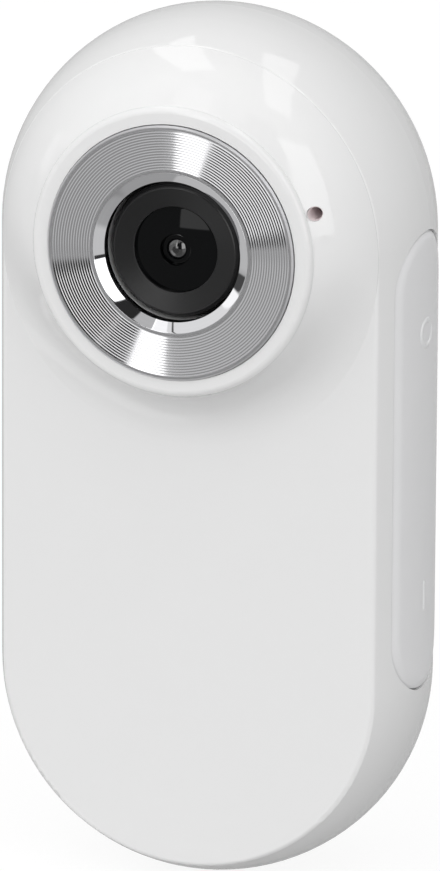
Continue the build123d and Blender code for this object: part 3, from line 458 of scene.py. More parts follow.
def grained(name, base, dark, roughness, spread, patterns, relief, extra, centre=None):
    """Material whose colour, roughness and height follow noise. patterns holds for each of
    the three how far apart the noise's patches lie, in metres, and its detail. The colour
    goes down to dark times the base, the roughness between its two shares in spread, and
    relief holds the height in metres that the noise stands for and how strongly it bends
    light. With a centre, the noise runs by the distance from the lens axis through it."""
    material, tree, place = new_material(name)
    if centre:
        place = axis_distance(tree, place, centre)
    fields = {}
    for spacing, detail in dict.fromkeys(patterns):
        sockets = {"Vector": place, "Scale": 1 / spacing, "Detail": detail}
        fields[spacing, detail] = add_node(tree, "ShaderNodeTexNoise", sockets).outputs["Fac"]
    tone, haze, height = (fields[pattern] for pattern in patterns)
    least, most = (part * roughness for part in spread)
    sockets = {"Value": haze, "To Min": least, "To Max": most}
    matt = add_node(tree, "ShaderNodeMapRange", sockets).outputs["Result"]
    sockets = {0: tone, 6: darker(base, dark), 7: list(base)}
    shade = add_node(tree, "ShaderNodeMix", sockets, data_type="RGBA").outputs[2]
    sockets = {"Base Color": shade, "Roughness": matt, **extra}
    if relief:
        bend = {"Height": height, "Distance": relief[0], "Strength": relief[1]}
        sockets["Normal"] = add_node(tree, "ShaderNodeBump", bend).outputs["Normal"]
    shader = add_node(tree, "ShaderNodeBsdfPrincipled", sockets)
    add_node(tree, "ShaderNodeOutputMaterial", {"Surface": shader.outputs["BSDF"]})
    return material


def polished_white_plastic(shell):
    """Injection-moulded ABS with a polished finish: even white, a clear hard gloss and very
    faint long ripples that bend the reflections a little."""
    haze, ripple = (9 * MM, 3.0), (shell.peel_size, 1.0)
    patterns, relief, spread = (haze, haze, ripple), (4 * MICRON, 0.5), (0.9, 1.15)
    name, base, roughness = "polished_white_abs", shell.shell_colour, shell.shell_roughness
    return grained(name, base, 0.985, roughness, spread, patterns, relief, {"IOR": 1.5})


def moulded_plastic(name, base, roughness, spacing, depth, shine=0.5):
    """Moulded ABS or nylon with a spark-eroded grain: a soft broad shine broken up by fine
    pits of the given spacing."""
    patches, pits = (4 * MM, 2.0), (spacing, 4.0)
    extra = {"IOR": 1.5, "Specular IOR Level": shine}
    patterns = patches, pits, pits
    return grained(name, base, 0.96, roughness, (0.85, 1.15), patterns, (depth, 0.6), extra)


def anodised_metal(name, base, roughness, spacing, depth):
    """Aluminium with a dyed and sealed oxide skin. The eye sees the glassy skin over the dye
    and no bare metal, so it reflects as a hard plastic does, a little more strongly, over a
    fine etched grain of the given spacing."""
    return moulded_plastic(name, base, roughness, spacing, depth, 0.6)


def soft_rubber(name, base, roughness):
    """Silicone or rubber: a satin skin with a dusty sheen at grazing angles and a fine
    powdery grain."""
    patches, powder = (3 * MM, 2.0), (0.12 * MM, 3.0)
    extra = {"IOR": 1.43, "Sheen Weight": 0.15, "Sheen Roughness": 0.5}
    patterns, relief = (patches, powder, powder), (3 * MICRON, 0.5)
    return grained(name, base, 0.97, roughness, (0.9, 1.1), patterns, relief, extra)


def turned_metal(name, base, roughness, centre, spacing, depth):
    """Aluminium cut on a lathe: bright bare metal whose finest tool marks run round the
    axis, so that light spreads across them. The marks are drawn coarser than real."""
    marks = [(spacing, 2.0)] * 3
    extra = {"Metallic": 1.0}
    return grained(name, base, 0.92, roughness, (0.8, 1.2), marks, (depth, 0.5), extra, centre)


def plain_metal(name, base, roughness, spacing):
    """Drawn, plated or stamped steel: a grey shine with short uneven scratches."""
    scratches = [(spacing, 5.0)] * 3
    relief, extra = (2 * MICRON, 0.4), {"Metallic": 1.0}
    return grained(name, base, 0.88, roughness, (0.7, 1.3), scratches, relief, extra)


def clear_glass(name, base, cover, shine, index=1.5):
    """Polished optical glass with an anti-reflection coat: it hides as much of what lies
    behind it as cover says, and gives small glints whose edge a wiped film softens."""
    film = [(1.5 * MM, 2.0)] * 3
    extra = {"IOR": index, "Specular IOR Level": shine, "Alpha": cover}
    return grained(name, base, 0.9, 0.02, (1.0, 2.5), film, None, extra)


# Pieces


def crowned(outer, inner, height, crown, steps):
    """Stations across a plain band whose middle rises: height - crown * t^2, with t from -1
    at one edge to 1 at the other."""
    t = np.linspace(-1, 1, steps)
    radius = (outer + inner) / 2 + (inner - outer) / 2 * t
    return np.stack([radius, height - crown * t**2], axis=1)


def ring_profile(ring, outer, face, back):
    """Closed section of the ring: back, rim, chamfer, a plain band, V-shaped grooves, an
    inner band, a rounded edge, the polished bevel and the bore. Both sides of a groove have
    the same slope and the one that faces the lens is wider, so the face falls a little
    towards the lens: each station lies slope times its step across below or above the last.
    The bevel swells by 4 t (1 - t) bevel_swell, with t from 0 at its mouth to 1 at its
    throat."""
    pitch = (ring.groove_end - ring.groove_start) / ring.groove_count
    places = np.linspace(ring.groove_end, ring.groove_start, 2 * ring.groove_count + 1)
    in_valley = np.arange(len(places)) % 2 == 1
    places -= np.where(in_valley, (0.5 - ring.valley) * pitch, 0)
    down = np.where(in_valley[1:], 1, -1) * tan(ring.groove_slope)
    heights = face + np.concatenate([[0], np.cumsum(np.diff(places) * down)])
    inner_face = heights[-1]
    inner_band = ring.mouth_radius + ring.mouth_round
    mouth = arc((inner_band, inner_face - ring.mouth_round), ring.mouth_round, 98, 120, 4)
    throat = np.array([ring.throat_radius, face - ring.bevel_depth])
    run = np.linspace(0, 1, 9)[1:, None]
    normal = np.array([mouth[-1][1] - throat[1], throat[0] - mouth[-1][0]])
    normal = -normal / np.linalg.norm(normal)
    swell = 4 * run * (1 - run) * ring.bevel_swell * normal
    return np.concatenate(
        [
            [(ring.throat_radius, back), (outer, back), (outer, face - ring.rim_chamfer)],
            crowned(outer - ring.rim_chamfer, ring.groove_end, face, ring.band_crown, 9)[:-1],
            np.stack([places, heights], axis=1),
            crowned(ring.groove_start, inner_band, inner_face, ring.band_crown, 9)[1:],
            mouth,
            mouth[-1] + (throat - mouth[-1]) * run + swell,
        ]
    )


class COLLARCAM_OT_turn_ring(bpy.types.Operator):
    """Turn the metal ring with its grooves and polished cone"""

    bl_idname = "collarcam.turn_ring"
    bl_label = "Turn Ring"

    def execute(self, context):
        ring = context.scene.collar_camera.ring
        centre, outer, face, back = round_node("lens_ring")
        finishes = (
            ("turned_aluminium", ring.ring_roughness, ring.line_spacing, 1.0 * MICRON),
            ("polished_aluminium", ring.polish_roughness, 0.3 * MM, 0.1 * MICRON),
            ("satin_aluminium", ring.band_roughness, ring.line_spacing, 0.5 * MICRON),
        )
        metals = [
            turned_metal(name, ring.ring_colour, roughness, centre, spacing, depth)
            for name, roughness, spacing, depth in finishes
        ]
        grid = lathe(ring_profile(ring, outer, face, back), centre, 360)
        piece = make_piece("grooved_ring", grid, (True, True), 12, metals)
        mouth_edge = ring.mouth_radius + ring.mouth_round

        def on_band(away):
            """The plain bands on both sides of the grooves."""
            return (away < ring.groove_start) | (away > ring.groove_end)

        paint_faces(piece, 2, centre, on_band)
        paint_faces(piece, 1, centre, lambda away: away < mouth_edge)
        settle(piece, "case", "ring_aluminium", "lens_ring")
        return {"FINISHED"}


def dome(away, reach, rise):
    """Height of a spherical cap over its rim, rise at the middle and 0 at reach. Its sphere
    has the radius R = (reach^2 + rise^2) / 2 rise, and the height at distance r from the
    axis is sqrt(R^2 - r^2) - (R - rise)."""
    radius = (reach**2 + rise**2) / (2 * rise)
    return np.sqrt(radius**2 - away**2) - (radius - rise)


def barrel_profile(lens, outer, face, back, seat):
    """Closed section of the barrel: threaded body, wide head, three steps with rounded
    edges, a bevelled lip, the dished face and the bore as far as the glass."""
    neck = face - lens.head_length
    turn, bevel = lens.step_round, lens.mouth_bevel
    steps = [
        arc((outer - turn - k * lens.step, face - (3 - k) * lens.step_fall - turn), turn, 0, 90, 4)
        for k in range(3)
    ]
    dished = face - lens.dish
    return np.concatenate(
        [
            [(lens.bore_radius, back), (lens.body_radius, back), (lens.body_radius, neck)],
            [(outer, neck)],
            *steps,
            [(lens.face_radius + lens.lip_width, face - lens.lip_drop)],
            [(lens.face_radius + 0.3 * lens.lip_width, face - lens.lip_drop / 6)],
            [(lens.face_radius, face), (lens.opening_radius + bevel, dished + bevel / 4)],
            [(lens.opening_radius, dished - bevel * 3 / 4)],
            [(lens.opening_radius, seat), (lens.bore_radius, seat)],
        ]
    )


def front_glass_profile(lens, edge, front_rim, back_rim):
    """Closed section of the front glass: a small steep dome on a flange with a rounded edge,
    a narrow moat round it, the wide shallow dome of the border and a hollow back. The whole
    glass is drawn opaque and near black: painted shade for the dark inside of the lens."""
    reach, turn = lens.front_reach, lens.flange_round
    flange = front_rim + dome(lens.well_radius, reach, lens.front_bulge) - lens.flange_drop
    moat = flange - lens.moat
    eye = np.linspace(0, lens.eye_radius, 16)
    wide = np.linspace(lens.well_radius, reach, 20)
    back = np.linspace(reach, 0, 20)
    return np.concatenate(
        [
            np.stack([eye, flange + dome(eye, lens.eye_radius, lens.eye_rise)], axis=1),
            arc((lens.flange_radius - turn, flange - turn), turn, 90, 0, 7),
            [(lens.flange_radius, moat), (lens.well_radius, moat)],
            np.stack([wide, front_rim + dome(wide, reach, lens.front_bulge)], axis=1),
            [(edge, front_rim), (edge, back_rim)],
            np.stack([back, back_rim + dome(back, reach, lens.front_hollow)], axis=1),
        ]
    )


def inner_glass_profile(lens, edge, front_rim, back_rim):
    """Closed section of the second glass, with a domed front and a domed back."""
    away = np.linspace(0, lens.inner_radius, 24)
    front = front_rim + dome(away, lens.inner_radius, lens.inner_bulge)
    back = back_rim - dome(away, lens.inner_radius, lens.inner_back)
    rim = [(edge, front_rim), (edge, back_rim)]
    return np.concatenate(
        [np.stack([away, front], axis=1), rim, np.stack([away, back], axis=1)[::-1]]
    )


class COLLARCAM_OT_fit_lens(bpy.types.Operator):
    """Fit the black barrel and the glass that shows in it"""

    bl_idname = "collarcam.fit_lens"
    bl_label = "Fit Lens"

    def execute(self, context):
        lens = context.scene.collar_camera.lens
        centre, outer, face, back = round_node("lens_barrel")
        _, edge, glass_front, glass_back = round_node("front_lens")
        seat = glass_front - lens.front_bulge
        black = anodised_metal(
            "black_anodised_aluminium", lens.barrel_colour, 0.3, 0.1 * MM, 1 * MICRON
        )
        grid = lathe(barrel_profile(lens, outer, face, back, seat), centre, 192)
        barrel = make_piece("black_lens_barrel", grid, (True, True), 25, (black,))
        settle(barrel, "case", "black_barrel", "lens_barrel")

        # Both front glass materials hide all behind them: their near-black colour is painted shade for
        # the lens's dark inside, under the renderer's own reflections
        border = clear_glass("shade_painted_lens_glass", lens.glass_shade_colour, 1.0, 0.28)
        domed = clear_glass("domed_lens_glass", lens.glass_shade_colour, 1.0, 1.0, 1.7)
        grid = lathe(front_glass_profile(lens, edge, seat, glass_back), centre, 160)
        front_glass = make_piece("front_glass", grid, (True, False), 30, (border, domed))

        def coated(away):
            """The eye's dome and the rounded edge of its flange."""
            on_edge = np.abs(away - lens.flange_radius + lens.flange_round / 2)
            return (away < lens.eye_radius) | (on_edge < lens.flange_round * 0.51)

        paint_faces(front_glass, 1, centre, coated)
        settle(front_glass, "case", "coated_glass", "front_lens")

        glass = clear_glass("coated_lens_glass", lens.glass_shade_colour, lens.glass_cover, 0.95)
        _, edge, front, back = round_node("second_lens")
        rims = front - lens.inner_bulge, back + lens.inner_back
        grid = lathe(inner_glass_profile(lens, edge, *rims), centre, 160)
        inner_glass = make_piece("inner_glass", grid, (True, False), 30, (glass,))
        settle(inner_glass, "case", "coated_glass", "second_lens")
        finish(glass, "third_lens")
        finish(clear_glass("cyan_filter_glass", linear("#4E7F84"), 0.4, 0.5), "ir_filter")
        finish(clear_glass("sensor_cover_glass", linear("#5A6060"), 0.2, 0.5), "sensor_glass")

        matt = moulded_plastic("matt_black_stop", linear("#0C0C0C"), 0.6, 0.1 * MM, 1 * MICRON)
        finish(matt, "lens_spacer", "lens_retainer")
        _, outer, front, back = round_node("aperture_stop")
        lip = (front - back) / 2
        mouth = arc((lens.stop_radius + lip, back + lip), lip, 90, 270, 17)
        grid = lathe(np.concatenate([[(outer, back), (outer, front)], mouth]), centre, 96)
        gloss = moulded_plastic("gloss_black_stop", linear("#0C0C0C"), 0.12, 0.1 * MM, 0)
        ring = make_piece("black_stop_ring", grid, (True, True), 40, (gloss,))
        settle(ring, "case", "black_barrel", "aperture_stop")
        return {"FINISHED"}


class COLLARCAM_OT_dress_shells(bpy.types.Operator):
    """Give the two shells their polished white and line the microphone's hole"""

    bl_idname = "collarcam.dress_shells"
    bl_label = "Dress Shells"

    def execute(self, context):
        shell = context.scene.collar_camera.shell
        finish(polished_white_plastic(shell), "front_shell", "back_shell")

        centre, outer, top, back = round_node("mic_boot")
        _, can, can_top, _ = round_node("microphone")
        can += shell.can_gap
        nozzle = shell.hole_radius - shell.nozzle_gap
        bore = nozzle - shell.boot_wall
        turn = shell.nozzle_round
        lip = SEAM_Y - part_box("front_shell")[0].y - shell.nozzle_drop
        body = [(can, back), (outer, back), (outer, top), (nozzle, top)]
        edges = [(nozzle, lip - turn), (nozzle - turn, lip), (bore + turn, lip), (bore, lip - turn)]
        profile = np.array([*body, *edges, (bore, can_top), (can, can_top)])
        grid = lathe(profile, centre, 64)
        # The nozzle's end follows the head's slope: y + d * tan(slope), with d how far a
        # point lies outward of the hole's middle, away from the lens
        outward = (grid[..., 0] - centre.x) * cos(shell.hole_angle)
        outward += (grid[..., 2] - centre.z) * sin(shell.hole_angle)
        in_hole = profile[None, :, 1] > (top + lip) / 2
        grid[..., 1] += np.where(in_hole, outward * tan(shell.head_slope), 0)
        rubber = soft_rubber("microphone_boot_silicone", shell.boot_colour, 0.5)
        boot = make_piece("microphone_boot", grid, (True, True), 40, (rubber,))
        settle(boot, "case", "black_rubber", "mic_boot")
        return {"FINISHED"}


def side_fall(flap, y):
    """How far the crowned side lies behind its farthest line: R - sqrt(R^2 - d^2), with d
    the distance from the seam and R the crown's radius on that side of the seam."""
    away = y - SEAM_Y
    radius = np.where(away < 0, flap.front_crown, flap.back_crown)
    return radius - np.sqrt(radius**2 - away**2)


def mould(name, flap, rows, follow, length, width, centre, wrap, rubber, steps=(40, 33)):
    """Rubber form with straight sides and round ends. Its rows are (inset, height), and
    those that follow the side are set back as the case's crown is."""
    grid = pill_rows(rows, length, width, centre, *steps)
    grid[..., 0] -= follow[:, None] * side_fall(flap, grid[..., 1])
    return make_piece(name, grid, wrap, 50, (rubber,))


def raised_line(name, flap, face, length, width, centre, rubber):
    """Raised line along the outline of a form with round ends, with rounded shoulders. Where
    the line fills the form, it closes along the form's middle line."""
    line, top, shoulder = flap.mark_line, face + flap.mark_rise, flap.mark_round
    foot = face - flap.lip_drop
    hollow = line < width / 2
    inset = line if hollow else width / 2
    outer = arc((shoulder, top - shoulder), shoulder, 180, 90, 5)
    inner = arc((line - shoulder, top - shoulder), shoulder, 90, 0, 5) if hollow else [(inset, top)]
    rows = np.concatenate([[(inset, foot), (0, foot)], outer, inner])
    follow = np.ones(len(rows))
    return mould(name, flap, rows, follow, length, width, centre, (hollow, True), rubber)


class COLLARCAM_OT_mould_flap(bpy.types.Operator):
    """Mould the soft flap with its plug, its stud and its raised marks"""

    bl_idname = "collarcam.mould_flap"
    bl_label = "Mould Flap"

    def execute(self, context):
        flap = context.scene.collar_camera.flap
        rubber = soft_rubber("white_silicone", flap.flap_colour, 0.42)
        low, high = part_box("side_cover")
        anchor_low, anchor_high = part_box("cover_anchor")
        hinge_z = (anchor_low.z + high.z) / 2
        middle_y = (low.y + high.y) / 2
        face = high.x - flap.mark_room
        back = face - flap.thickness
        inside = back + flap.skin

        # The border falls by lip_drop * (1 - t)^2, with t from 0 at the edge to 1 at lip_width
        edge = face - flap.lip_drop - flap.edge_round
        turned = arc((flap.edge_round, edge), flap.edge_round, 180, 100, 5)
        inward = np.linspace(flap.edge_round, flap.lip_width, 12)
        fall = flap.lip_drop * (1 - inward / flap.lip_width) ** 2
        length = anchor_high.z - low.z + 2 * flap.fringe
        width = high.y - low.y + 2 * flap.fringe
        under = np.stack([np.linspace(width / 2, flap.skin, 9), np.full(9, back)], axis=1)
        plain = [(width / 2 * part, face) for part in (0.5, 0.7, 0.9, 1.0)]
        lip = np.stack([inward, face - fall], axis=1)
        rows = np.concatenate([under, [(0, inside)], turned, lip, plain])
        follow = np.arange(len(rows)) > len(under)
        centre = (0, middle_y, (anchor_high.z + low.z) / 2)
        form = rows, follow, length, width, centre
        strip = mould("soft_flap", flap, *form, (False, True), rubber, (160, 65))
        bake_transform(strip)
        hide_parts("side_cover", "cover_anchor")

        for name, mark_length, mark_width, place_z in (
            ("ring_mark", flap.mark_size, flap.mark_size, flap.ring_mark_z),
            ("bar_mark", flap.mark_size, flap.mark_line, flap.bar_mark_z),
        ):
            place = (0, middle_y, place_z)
            mark = raised_line(name, flap, face, mark_length, mark_width, place, rubber)
            settle(mark, "flap", "white_silicone", "side_cover")

        rim, middle, hollow = flap.rim, flap.plug_width / 2, back - flap.plug_floor
        outside = [(middle, inside), (0, inside), (0, low.x + rim), (rim, low.x)]
        mouth = [(flap.plug_wall - rim / 2, low.x), (flap.plug_wall, low.x + rim / 2)]
        rows = np.array([*outside, *mouth, (flap.plug_wall, hollow), (middle, hollow)])
        place = (0, SEAM_Y - flap.plug_lead, 0)
        form = rows, np.zeros(len(rows)), flap.plug_length, flap.plug_width, place
        plug = mould("port_plug", flap, *form, (False, True), rubber)
        settle(plug, "flap", "white_silicone", "side_cover")

        head, stem = flap.stud_head, flap.stud_head - flap.stud_radius
        head_top = anchor_low.x + flap.stud_head_length
        below = [(head, anchor_low.x), (rim, anchor_low.x), (0, anchor_low.x + rim)]
        above = [(0, head_top - rim), (rim, head_top), (stem, head_top)]
        rows = np.array([*below, *above, (stem, inside), (head, inside)])
        place = (0, middle_y, (anchor_high.z + hinge_z - flap.stud_radius) / 2)
        form = rows, np.zeros(len(rows)), 2 * head, 2 * head, place
        stud = mould("flap_stud", flap, *form, (False, True), rubber)
        settle(stud, "case", "white_silicone", "cover_anchor")
        return {"FINISHED"}


def spring_path(clip, pin_y, pin_z):
    """Middle line of the spring's wire. After n turns the coil lies at
    x = (n - turns / 2) * pitch, y = pin_y - R cos(2 pi n) and z = pin_z - R sin(2 pi n), and
    a straight leg runs on along its tangent at both ends. Also gives the coil's last x."""
    turn = np.linspace(0, clip.coil_turns, int(clip.coil_turns * 40) + 1)
    coil_x = (turn - clip.coil_turns / 2) * clip.coil_pitch
    coil_y = pin_y - clip.coil_radius * np.cos(2 * pi * turn)
    coil_z = pin_z - clip.coil_radius * np.sin(2 * pi * turn)
    coil = np.stack([coil_x, coil_y, coil_z], axis=1)
    first, last = coil[0] - coil[1], coil[-1] - coil[-2]
    first, last = first / np.linalg.norm(first), last / np.linalg.norm(last)
    rounded, plain = np.linspace(0, clip.wire / 2, 6), np.linspace(clip.wire, clip.leg, 10)
    run = np.concatenate([rounded, plain])
    leg_in = coil[0] + first * (clip.leg - run)[:, None]
    leg_out = coil[-1] + last * (clip.leg - run)[::-1, None]
    return np.concatenate([leg_in[:-1], coil, leg_out[1:]]), coil_x[-1]


class COLLARCAM_OT_wind_spring(bpy.types.Operator):
    """Wind the torsion spring round the clip's pin"""

    bl_idname = "collarcam.wind_spring"
    bl_label = "Wind Spring"

    def execute(self, context):
        clip = context.scene.collar_camera.clip
        steel = plain_metal("drawn_spring_steel", linear("#B4B4B6"), 0.28, 0.25 * MM)
        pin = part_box("clip_pin")
        pin_y, pin_z = (pin[0].y + pin[1].y) / 2, (pin[0].z + pin[1].z) / 2
        path, coil_end = spring_path(clip, pin_y, pin_z)
        grid = tube(path, clip.wire / 2, 16)
        piece = make_piece("clip_torsion_spring", grid, (False, True), 60, (steel,))
        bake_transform(piece)
        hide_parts("clip_spring")
        return {"FINISHED"}


def pad_grid(clip, low, high):
    """Grid of the ribbed pad between the corners of its box. At distance e from the nearer
    end it is half its width less c - sqrt(c^2 - (c - e)^2) wide each way, with c the radius of
    its corners. Its face lies pad_dip behind the box's, less
    rib_height * (1 + cos(2 pi z / rib_pitch)) / 2 * (1 - t^6), with t from -1 to 1 across, and
    falls to the flat back at both ends."""
    across = np.concatenate([[-1, -1], np.linspace(-1, 1, 13), [1, 1]])
    rows = np.linspace(low.z, high.z, int((high.z - low.z) / clip.pad_row))
    edge = np.minimum(rows - low.z, high.z - rows)
    corner = clip.pad_corner
    width = (high.x - low.x) / 2 - corner
    width = width + np.sqrt(corner**2 - np.clip(corner - edge, 0, None) ** 2)
    rib = 0.5 + 0.5 * np.cos(2 * pi * (rows - low.z) / clip.rib_pitch)
    rise = clip.rib_height * rib[:, None] * (1 - np.abs(across) ** 6)
    whole = ease(edge, 0, clip.pad_end)[:, None]
    top = (low.y + clip.pad_dip - rise) * whole + high.y * (1 - whole)
    top[:, 0] = top[:, -1] = high.y
    return np.stack([across * width[:, None], top, rows[:, None] + 0 * across], axis=-1)


class COLLARCAM_OT_finish_clip(bpy.types.Operator):
    """Finish the clip and its bracket and mould the ribbed rubber pad"""

    bl_idname = "collarcam.finish_clip"
    bl_label = "Finish Clip"

    def execute(self, context):
        clip = context.scene.collar_camera.clip
        for name, node_name, roughness, spacing, depth in (
            ("moulded_white_clip", "spring_clip", 0.22, 0.25 * MM, 1 * MICRON),
            ("moulded_white_bracket", "clip_bracket", 0.35, 0.2 * MM, 2 * MICRON),
        ):
            plastic = moulded_plastic(name, clip.clip_colour, roughness, spacing, depth)
            finish(plastic, node_name)
        finish(plain_metal("steel_pin", linear("#BDBDBF"), 0.25, 0.3 * MM), "clip_pin")

        rubber = soft_rubber("grey_rubber", clip.pad_colour, 0.6)
        grid = pad_grid(clip, *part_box("clip_pad"))
        pad = make_piece("ribbed_pad", grid, (False, True), 60, (rubber,))
        settle(pad, "clip", "black_rubber", "clip_pad")
        return {"FINISHED"}


# Finishes of the inner pieces: the material's name, its colour, its roughness, its grain in
# millimetres, for a plastic also the grain's depth in thousandths, and the nodes. The board's
# lacquer and the fired ceramic shine as plastics do and are listed with them
METALS = (
    ("microphone_can", "#6B5F5C", 0.4, 0.3, "microphone"),
    ("zinc_plated_steel", "#A9A9AA", 0.3, 0.2, "case_screws board_screws holder_screws bracket_screws"),
    ("nickel_plated_steel", "#C6C6C2", 0.22, 0.4, "usb_socket card_socket"),
    ("tinned_can", "#B9B7B0", 0.35, 0.3, "crystal"),
    ("foil_pouch", "#B8BABD", 0.4, 1.5, "battery"),
)
PLASTICS = (
    ("moulded_epoxy", "#26262A", 0.45, 0.1, 2, "processor_chip memory_chip power_chip image_sensor"),
    ("black_nylon", "#1D1D1E", 0.5, 0.15, 2, "lens_holder usb_tongue power_switch record_switch"),
    ("bare_card_plastic", "#2A2A2C", 0.4, 0.12, 1, "memory_card"),
    ("grey_key_plastic", "#C4C4C4", 0.4, 0.15, 2, "power_key record_key power_plunger record_plunger"),
    ("green_solder_mask", "#1E5A3C", 0.3, 0.5, 2, "circuit_board"),
    ("fired_ceramic", "#B79A76", 0.35, 0.1, 1, "capacitors"),
    ("red_wire_insulation", "#B22A22", 0.4, 0.2, 1, "battery_leads mic_leads"),
)
RUBBERS = (
    ("closed_cell_foam", "#2B2B2B", 0.9, "battery_pad lens_seal"),
    ("black_rubber", "#222222", 0.6, "ring_adhesive"),
)


class COLLARCAM_OT_finish_inside(bpy.types.Operator):
    """Finish the pieces inside the case and all screws"""

    bl_idname = "collarcam.finish_inside"
    bl_label = "Finish Inside"

    def execute(self, context):
        for name, tint, roughness, grain, nodes in METALS:
            finish(plain_metal(name, linear(tint), roughness, grain * MM), *nodes.split())
        for name, tint, roughness, grain, depth, nodes in PLASTICS:
            made = moulded_plastic(name, linear(tint), roughness, grain * MM, depth * MICRON)
            finish(made, *nodes.split())
        for name, tint, roughness, nodes in RUBBERS:
            finish(soft_rubber(name, linear(tint), roughness), *nodes.split())
        return {"FINISHED"}


# Studio


def camera_ways(studio):
    """Directions of the camera: towards it, its right and its up, with its roll."""
    yaw, pitch, roll = studio.yaw, studio.pitch, studio.roll
    towards = Vector((sin(yaw) * cos(pitch), -cos(yaw) * cos(pitch), sin(pitch)))
    right = Vector((cos(yaw), sin(yaw), 0))
    up = Vector((-sin(yaw) * sin(pitch), cos(yaw) * sin(pitch), cos(pitch)))
    return towards, cos(roll) * right + sin(roll) * up, cos(roll) * up - sin(roll) * right


def add_camera(studio):
    """Camera at the photograph's angle, aimed just above the middle of the case."""
    towards, right, up = camera_ways(studio)
    middle = Vector((0, SEAM_Y, 0)) + up * studio.aim_rise
    data = bpy.data.cameras.new("camera")
    data.lens = studio.focal
    data.sensor_width = studio.sensor
    data.sensor_fit = "AUTO"
    data.clip_start = 0.01
    data.clip_end = 20
    camera = bpy.data.objects.new("camera", data)
    bpy.context.scene.collection.objects.link(camera)
    turn = Matrix((right, up, towards)).transposed().to_4x4()
    camera.matrix_world = Matrix.Translation(middle + towards * studio.distance) @ turn
    bpy.context.scene.camera = camera


# Middle of the case's head, which the softboxes face
HEAD = Vector((0, SEAM_Y, 15 * MM))

# Overhead softboxes: name, place, way of the long side, width and length, in metres
SOFTBOXES = (
    ("overhead_left", (-0.22, SEAM_Y + 0.07, 0.6), (0.34, -0.72, 0), 0.17, 0.46),
    ("overhead_right", (0.21, SEAM_Y + 0.02, 0.6), (0.285, -0.99, 0), 0.15, 0.6),
)


def add_softbox(name, place, run, width, length, glow):
    """Rectangular softbox that faces the case's head, with its long side along run. Its
    power is glow * pi * area, so that its face is glow times as bright as white."""
    data = bpy.data.lights.new(name, "AREA")
    data.shape = "RECTANGLE"
    data.size = width
    data.size_y = length
    data.energy = glow * pi * width * length
    lamp = bpy.data.objects.new(name, data)
    bpy.context.scene.collection.objects.link(lamp)
    away = (Vector(place) - HEAD).normalized()
    along = (Vector(run) - Vector(run).dot(away) * away).normalized()
    turn = Matrix((along.cross(away), along, away)).transposed().to_4x4()
    lamp.matrix_world = Matrix.Translation(place) @ turn


# A Map Range node with these settings goes from 0 to 1 as smoothly as ease does
SMOOTH = {"interpolation_type": "SMOOTHSTEP"}


def patch(tree, direction, towards, inner, outer):
    """1 within inner degrees of a direction, 0 past outer degrees, smooth between them."""
    sockets = {0: direction, 1: tuple(towards)}
    near = add_node(tree, "ShaderNodeVectorMath", sockets, operation="DOT_PRODUCT").outputs["Value"]
    sockets = {"Value": near, "From Min": cos(radians(outer)), "From Max": cos(radians(inner))}
    return add_node(tree, "ShaderNodeMapRange", sockets, **SMOOTH).outputs["Result"]


def within(tree, value, low, high, soft):
    """1 where an angle lies between low and high degrees, 0 outside, with a soft edge."""
    middle, half = radians(low + high) / 2, radians(high - low) / 2
    off = add_node(tree, "ShaderNodeMath", {0: value, 1: middle}, operation="SUBTRACT")
    away = add_node(tree, "ShaderNodeMath", {0: off.outputs[0]}, operation="ABSOLUTE")
    edge = radians(soft) / 2
    sockets = {"Value": away.outputs[0], "From Min": half + edge, "From Max": half - edge}
    return add_node(tree, "ShaderNodeMapRange", sockets, **SMOOTH).outputs["Result"]


# What metal and glass see round them: azimuth to the right of the front and elevation,
# each from and to in degrees, the soft edge and the brightness, each over those before it
PANELS = (
    (-27, 32, -60, -10, 6, 0.33),
    (35, 90, -30, -2, 6, 0.7),
    (-90, -66, -75, -8, 4, 0.62),
    (-62, -20, -15, 30, 4, 0.62),
    (-64, -32, -55, -21, 3, 1.15),
    (-60, -20, 26, 62, 10, 0.95),
    (-72, -52, 13, 42, 4, 0.95),
    (-80, -70.5, 4, 17, 2, 1.3),
    (-84, -76.5, -6, 3.5, 1.5, 0.08),
    (-8, 31, -9, 46, 2, 0.03),
)

# The same for the panels that lie over the dark patch round the camera's mirror image too
NEAR_PANELS = (
    (-17, 1, -1.5, 12, 1, 1.6),
    (-19, -8, 11, 56, 2, 2.2),
    (-31.5, -29.5, 38, 52, 1, 0.1),
    (-24.5, -9.5, 38, 56, 1.5, 1.3),
    (-8.5, 11.5, 38, 52, 2, 0.6),
    (28.5, 55, -4.5, 37, 1.5, 2.2),
    (40, 56, -7, -4, 1, 0.05),
)

# Between minus and plus this Z of a direction, the bare room goes from its foot to its top
ROOM_SPAN = 0.9


def panelled(tree, azimuth, elevation, room, panels):
    """Lay each panel over the room."""
    for left, right, low, high, soft, level in panels:
        across = within(tree, azimuth, left, right, soft)
        along = within(tree, elevation, low, high, soft)
        both = add_node(tree, "ShaderNodeMath", {0: across, 1: along}, operation="MULTIPLY")
        sockets = {0: both.outputs[0], 2: room, 3: level}
        room = add_node(tree, "ShaderNodeMix", sockets).outputs[0]
    return room


